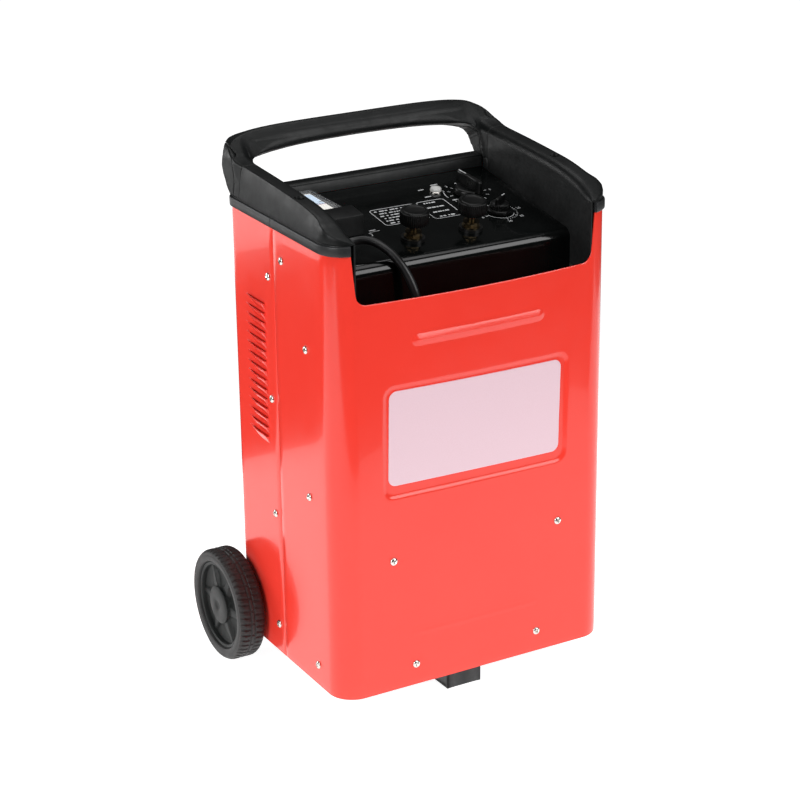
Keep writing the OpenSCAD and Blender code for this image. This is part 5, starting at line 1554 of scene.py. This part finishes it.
def wheel(s, side):
    body = side + "_wheel"

    def f(p):  # local z points outward along x
        return (s * 185.0 + s * p[2], AY + p[0], AZ + (p[1] if s > 0 else p[1]))
    # tyre: profile swept round with tread lugs on both shoulders and a centre band
    lugs, per = 54, 8
    n = lugs * per
    w = 15.0
    prof = [(49.0, -12.0, 0), (50.0, -14.0, 0), (51.2, -14.7, 0), (56.2, -14.95, 0), (57.0, -14.7, 0), (57.6, -14.95, 0), (59.6, -14.6, 0), (60.6, -13.6, 0.3),
            (61.7, -11.8, 0.8), (62.3, -10.2, 1), (62.4, -7.5, 1), (62.4, -4.8, 1), (62.2, -3.4, 0.6), (61.4, -2.7, 0), (61.5, -1.8, 0), (62.2, -1.3, -1), (62.4, 0.0, -1),
            (62.2, 1.3, -1), (61.5, 1.8, 0), (61.4, 2.7, 0), (62.2, 3.4, 2.6), (62.4, 4.8, 3), (62.4, 7.5, 3), (62.3, 10.2, 3), (61.7, 11.8, 2.8), (60.6, 13.6, 2.3), (59.6, 14.6, 0),
            (57.6, 14.95, 0), (57.0, 14.7, 0), (56.2, 14.95, 0), (51.2, 14.7, 0), (50.0, 14.0, 0), (49.0, 12.0, 0)]
    bm = bmesh.new()
    rings = []
    for i in range(n):
        a = 2 * math.pi * i / n
        ring = []
        for r, z, k in prof:
            depth = 0.0
            if k > 0:
                off, amp = (0.0, k) if k <= 1.01 else (0.5, k - 2.0)
                ph = (i / per + off + 0.02 * z) % 1.0
                g = smoothstep((0.17 - abs(ph - 0.5)) / 0.06 + 0.5) if abs(ph - 0.5) < 0.25 else 0.0
                depth = 1.2 * g * amp
            elif k < 0:
                ph = (i / per / 2.0) % 1.0
                g = 1.0 if abs(ph - 0.5) < 0.12 else 0.0
                depth = 0.9 * g
            ring.append(((r - depth) * math.cos(a), (r - depth) * math.sin(a), z))
        rings.append(add_verts(bm, ring, f))
    m = len(prof)
    for k in range(n):
        a, b = rings[k], rings[(k + 1) % n]
        for i in range(m):
            j = (i + 1) % m
            bm.faces.new([a[i], a[j], b[j], b[i]])
    finish_object(side + "_tyre_tread", bm, "rubber", body, smooth=30, replaces=(side + "_tyre",))

    # hub: rim band, dished web with six ribs, boss
    bm = bmesh.new()
    n = 240

    def web(r, a):
        """Height of the outer web face at radius r and angle a: dished between raised spokes."""
        k = a / (2 * math.pi) * 6
        dist = abs(k - round(k)) * 2 * math.pi / 6 * r       # arc distance to the nearest rib
        base = 7.4 - 2.6 * math.sin(math.pi * min(max((r - 19) / 27.0, 0), 1))
        half = 3.0 + 4.6 * (1 - min(max((r - 20) / 25.0, 0), 1))
        rib = smoothstep(1 - (dist - half * 0.55) / (half * 0.6)) if dist < half * 1.15 else 0.0
        return base + (9.6 - base) * rib * (0.55 + 0.45 * math.cos(math.pi * min(max((r - 22) / 40.0, 0), 1)))
    radii = [20.2, 21.0, 22.5, 24.5, 27, 30, 33, 36, 39, 41.5, 43.5, 44.6]
    for sgn in (1, -1):
        grid = []
        for i in range(n):
            a = 2 * math.pi * i / n
            col = [(20.0, 13.2)] if False else []
            pts = [(r * math.cos(a), r * math.sin(a), sgn * web(r, a)) for r in radii]
            # wall of the rim band up to the face, then over the lip
            for r, z in ((45.0, 10.4), (45.4, 11.4), (46.2, 11.95), (48.4, 12.0), (48.9, 11.6)):
                pts.append((r * math.cos(a), r * math.sin(a), sgn * z))
            grid.append(add_verts(bm, pts, f))
        for k in range(n):
            a, b = grid[k], grid[(k + 1) % n]
            for i in range(len(a) - 1):
                vs = [a[i], a[i + 1], b[i + 1], b[i]]
                bm.faces.new(vs if sgn > 0 else vs[::-1])
        if sgn > 0:
            g1 = grid
        else:
            g2 = grid
    for k in range(n):  # outside of the rim band under the tyre, and bore side of the boss
        bm.faces.new([g1[k][-1], g2[k][-1], g2[(k + 1) % n][-1], g1[(k + 1) % n][-1]])
        bm.faces.new([g1[k][0], g1[(k + 1) % n][0], g2[(k + 1) % n][0], g2[k][0]])
    # boss on both sides with the bore
    lathe(bm, [(6.08, -14.4), (6.08, 8.4), (10.9, 8.5), (10.9, 11.0), (20.0, 11.0), (20.25, 10.6), (20.25, -13.8), (19.7, -14.4), (6.08, -14.4)], 96, f)
    finish_object(side + "_hub_spoked", bm, "hub", body, smooth=33, replaces=(side + "_hub",))
    # cap over the axle end, softly crowned with a dimple
    bm = bmesh.new()
    lathe(bm, [(0, 12.6), (2.2, 12.65), (4.2, 13.0), (5.6, 13.6), (7.0, 14.0), (12.0, 14.15), (17.0, 13.9), (20.0, 13.4), (21.2, 12.7), (21.5, 12.0), (21.4, 11.3),
               (20.6, 11.1), (11.0, 11.05), (10.9, 8.7), (8.6, 8.7), (8.5, 11.8), (0, 11.8)], 96, f)
    finish_object(side + "_hub_cap_disc", bm, "hub", body, smooth=33, replaces=(side + "_hub_cap",))


wheel(-1, "left")
wheel(1, "right")


# ---------------------------------------------------------------- front foot
def front_foot():
    bm = bmesh.new()
    t = 2.2
    # folded channel seen along x
    outer = [(-88, -33), (-46, -33), (-46, -31), (-46, 0), (-88, 0)]
    prof = [(-88, 0), (-88, -33), (-46, -33), (-46, -33 + t), (-88 + t, -33 + t), (-88 + t, -t), (-46, -t), (-46, 0)]
    secs = [[(x, y, z) for y, z in prof] for x in (-21.5, -14, 0, 14, 21.5)]
    loft(bm, secs)
    for s in (-1, 1):  # side webs
        xa, xb = s * 21.5, s * (21.5 - t)
        loft(bm, [[(xa, -88, -33), (xa, -46, -33), (xa, -46, 0), (xa, -88, 0)], [(xb, -88, -33), (xb, -46, -33), (xb, -46, 0), (xb, -88, 0)]])
    finish_object("front_foot_channel", bm, "black_steel", "cabinet", smooth=30, replaces=("front_foot",), bevel=(0.7, 3, 50))


front_foot()


# ---------------------------------------------------------------- gland and clamp
def gland():
    bm = bmesh.new()

    def f(p):
        return (p[2], -47 + p[1], 475 + p[0])
    lathe(bm, [(4.5, -147.5), (8.0, -148), (9.4, -147.4), (9.4, -139.6), (6.0, -139.2), (6.0, -137.4), (10.6, -137.3), (11.0, -136.8), (11.0, -134.4), (10.4, -133.4),
               (9.6, -131.6), (8.2, -131.0), (7.9, -129.6)] +
          [q for k in range(7) for q in ((7.8 - 0.28 * k, -129.2 + 2.6 * k), (7.65 - 0.28 * k, -127.8 + 2.6 * k), (6.9 - 0.26 * k, -127.6 + 2.6 * k), (6.85 - 0.26 * k, -126.9 + 2.6 * k))] +
          [(5.6, -110.6), (5.2, -110.05), (4.53, -110.0), (4.53, -147.5)], 48, f)
    finish_object("lead_gland_boot", bm, "moulding", "cabinet", smooth=35, replaces=())
    # blank gland for the supply lead at the back
    bm = bmesh.new()

    def g(p):
        return (100 + p[0], 118 + p[2], 80 + p[1])
    lathe(bm, [(3.75, -7), (9.0, -7.0), (9.6, -6.4), (9.6, -1.6), (7.7, -1.3), (7.7, 0.05), (9.6, 0.1), (10.0, 0.6), (10.0, 3.6), (9.4, 4.1), (7.0, 4.3)] +
          [q for k in range(4) for q in ((6.9 - 0.4 * k, 4.6 + 3.2 * k), (6.7 - 0.4 * k, 6.4 + 3.2 * k), (6.0 - 0.4 * k, 6.6 + 3.2 * k), (5.9 - 0.4 * k, 7.5 + 3.2 * k))] +
          [(5.2, 17.6), (4.6, 18.1), (3.75, 18.1), (3.75, -7)], 48, g)
    o = finish_object("supply_gland_boot", bm, "moulding", "cabinet", smooth=35)
    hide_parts("lead_glands")
    return bpy.data.objects["lead_gland_boot"]


gland_obj = gland()

CX, CZ, CY = 78.0, 182.9, -92.0
ARM = [(50, -28), (58, -21.5), (69, -11), (69.5, -3), (73, 6), (78, 9), (84, 7), (92, -3), (133, -0.6), (133, -9), (118, -17), (100, -17), (80, -16), (62, -26), (52, -36)]
GRIP = [(-2, -40.3), (20, -40.3), (42, -36.5), (60, -26), (55, -16), (40, -25.5), (20, -28), (-2, -28)]


def clamp_arm(half, flip, name, node, body):
    """Pressed channel arm: two side plates joined by the back, with teeth along the jaw."""
    bm = bmesh.new()
    t = 1.5
    prof = []
    for i, p in enumerate(ARM):
        prof.append(p)
        if p == (92, -3):
            for k in range(1, 10):  # teeth
                x = 92 + 41 * k / 10.0
                base = -3 + 2.4 * k / 10.0
                prof.append((x - 2.05, base - 1.3))
                prof.append((x, base))

    def pt(x, y, z):
        return (x, CY + y, CZ + (-z if flip else z))
    for q in (-half, half - t):
        loft(bm, [[pt(x, q, z) for x, z in prof], [pt(x, q + t, z) for x, z in prof]])
    back = [(100, -17), (118, -17), (133, -9), (133, -1.2), (131.6, -1.2), (131.6, -8.2), (117.6, -15.5), (100, -15.5)]
    loft(bm, [[pt(x, -half, z) for x, z in back], [pt(x, half, z) for x, z in back]])
    finish_object(name, bm, "copper_plate", body, smooth=30, replaces=(node,), bevel=(0.25, 2, 40))


def clamp_grip(flip, name, node, body):
    bm = bmesh.new()

    def pt(x, y, z):
        return (x, CY + y, CZ + (-z if flip else z))
    c = [sum(p[0] for p in GRIP) / 8, sum(p[1] for p in GRIP) / 8]
    secs = []
    fine = []
    n = len(GRIP)
    for i in range(n):
        a, b = GRIP[i], GRIP[(i + 1) % n]
        for k in range(6):
            fine.append((a[0] + (b[0] - a[0]) * k / 6, a[1] + (b[1] - a[1]) * k / 6))
    for y, ins in ((-9, 1.6), (-8.2, 0.6), (-6.5, 0.1), (0, 0.0), (6.5, 0.1), (8.2, 0.6), (9, 1.6)):
        ring = []
        for i, p in enumerate(fine):
            d = Vector((c[0] - p[0], c[1] - p[1]))
            d = Vector((d.x * 0.25, d.y)).normalized()
            ring.append(pt(p[0] + d.x * ins, y, p[1] + d.y * ins))
        secs.append(ring)
    loft(bm, secs)
    return finish_object(name, bm, "vinyl", body, smooth=45, replaces=(node,), bevel=(1.0, 2, 50))


clamp_arm(11.8, False, "clamp_arm_lower_pressed", "clamp_lower_arm", "cabinet")
clamp_arm(9.8, True, "clamp_arm_upper_pressed", "clamp_upper_arm", "clamp_jaw")
grip_obj = clamp_grip(False, "clamp_grip_lower_dipped", "clamp_grips", "cabinet")
clamp_grip(True, "clamp_grip_upper_dipped", "clamp_upper_grip", "clamp_jaw")


def clamp_spring():
    """Pin with riveted ends and a torsion spring wound round it."""
    bm = bmesh.new()

    def f(p):
        return (CX + p[0], CY - p[2], CZ + p[1])
    lathe(bm, [(0, -13.5), (1.6, -13.5), (3.6, -13.3), (4.2, -12.9), (4.2, -12.1), (2.5, -12.0), (2.5, 12.0), (4.2, 12.1), (4.2, 12.9), (3.6, 13.3), (1.6, 13.5), (0, 13.5)], 40, f)
    pts = []
    turns, r = 5.5, 5.9
    for k in range(int(turns * 24) + 1):
        a = 2 * math.pi * k / 24
        pts.append(Vector(F((CX + r * math.cos(a), CY - 6.0 + 12.0 * k / (turns * 24), CZ + r * math.sin(a)))))
    rings = []
    side = None
    for i, p in enumerate(pts):
        t = (pts[min(i + 1, len(pts) - 1)] - pts[max(i - 1, 0)]).normalized()
        side = t.cross(Vector((0, 1, 0))).normalized()
        v = t.cross(side)
        rings.append([bm.verts.new(p + 0.00085 * (math.cos(2 * math.pi * k / 10) * side + math.sin(2 * math.pi * k / 10) * v)) for k in range(10)])
    for a, b in zip(rings, rings[1:]):
        for k in range(10):
            bm.faces.new([a[k], a[(k + 1) % 10], b[(k + 1) % 10], b[k]])
    bm.faces.new(rings[0][::-1])
    bm.faces.new(rings[-1])
    return finish_object("clamp_pin_and_wound_spring", bm, "zinc", "cabinet", smooth=40, replaces=("clamp_pin_and_spring",))


clamp_spring()

# ---------------------------------------------------------------- finishes of the CAD nodes that stay
for node, key in CAD_FINISH.items():
    ob = frame["nodes"].get(node)
    if ob is not None and not ob.hide_render:
        ob.data.materials.clear()
        ob.data.materials.append(M[key])


# ---------------------------------------------------------------- floor, light, world
def floor():
    """Pale paper in two sheets: under and in front of the machine, and a strip well behind it."""
    bm = bmesh.new()
    for x0, x1, y0, y1 in ((-1.6, 1.4, -0.80, 0.585), (-3.0, 1.4, 1.42, 3.2)):
        nx, ny = 12, 10
        g = [[bm.verts.new((x0 + (x1 - x0) * i / nx, y0 + (y1 - y0) * j / ny, 0)) for j in range(ny + 1)] for i in range(nx + 1)]
        for i in range(nx):
            for j in range(ny):
                bm.faces.new([g[i][j], g[i + 1][j], g[i + 1][j + 1], g[i][j + 1]])
    me = bpy.data.meshes.new("studio_floor")
    bm.to_mesh(me)
    bm.free()
    o = bpy.data.objects.new("studio_floor", me)
    scene.collection.objects.link(o)
    me.materials.append(material("floor_paper", (0.60, 0.60, 0.60), rough=0.7, spec=0.1, color2=(0.58, 0.58, 0.58), color_scale=5, rough_var=0.05,
                                 emission=(1, 1, 1, 0.95)))


floor()


def area(name, loc, target, size, size_y, radiance, color=(1, 1, 1)):
    d = bpy.data.lights.new(name, "AREA")
    d.shape = "RECTANGLE"
    d.size, d.size_y = size, size_y
    d.energy = radiance * math.pi * size * size_y
    d.color = color
    o = bpy.data.objects.new(name, d)
    scene.collection.objects.link(o)
    o.location = loc
    o.rotation_euler = (Vector(target) - Vector(loc)).to_track_quat("-Z", "Y").to_euler()
    return o


area("top_box", (0.1, -0.5, 2.3), (0, -0.1, 0.2), 2.0, 1.2, 1.9)
area("front_right_box", (1.35, -2.15, 1.45), (0, -0.05, 0.38), 1.5, 1.7, 4.9)
area("left_box", (-2.2, -0.9, 1.3), (0, 0, 0.3), 1.3, 1.3, 5.9)
area("rear_top_box", (0.45, 1.05, 2.35), (0, 0, 0.5), 1.1, 0.6, 3.2)
area("rear_left_box", (-1.5, 1.9, 0.95), (-0.1, 0, 0.35), 1.4, 1.0, 4.4)


def world():
    w = bpy.data.worlds.new("studio")
    scene.world = w
    w.use_nodes = True
    nt = w.node_tree
    for n in list(nt.nodes):
        nt.nodes.remove(n)
    out = nt.nodes.new("ShaderNodeOutputWorld")
    mix = nt.nodes.new("ShaderNodeMixShader")
    lp = nt.nodes.new("ShaderNodeLightPath")
    a = nt.nodes.new("ShaderNodeBackground")
    a.inputs[0].default_value = (1, 1, 1, 1)
    a.inputs[1].default_value = 0.035
    b = nt.nodes.new("ShaderNodeBackground")
    b.inputs[0].default_value = (1, 1, 1, 1)
    b.inputs[1].default_value = 1.05
    nt.links.new(lp.outputs["Is Camera Ray"], mix.inputs[0])
    nt.links.new(a.outputs[0], mix.inputs[1])
    nt.links.new(b.outputs[0], mix.inputs[2])
    nt.links.new(mix.outputs[0], out.inputs[0])


world()
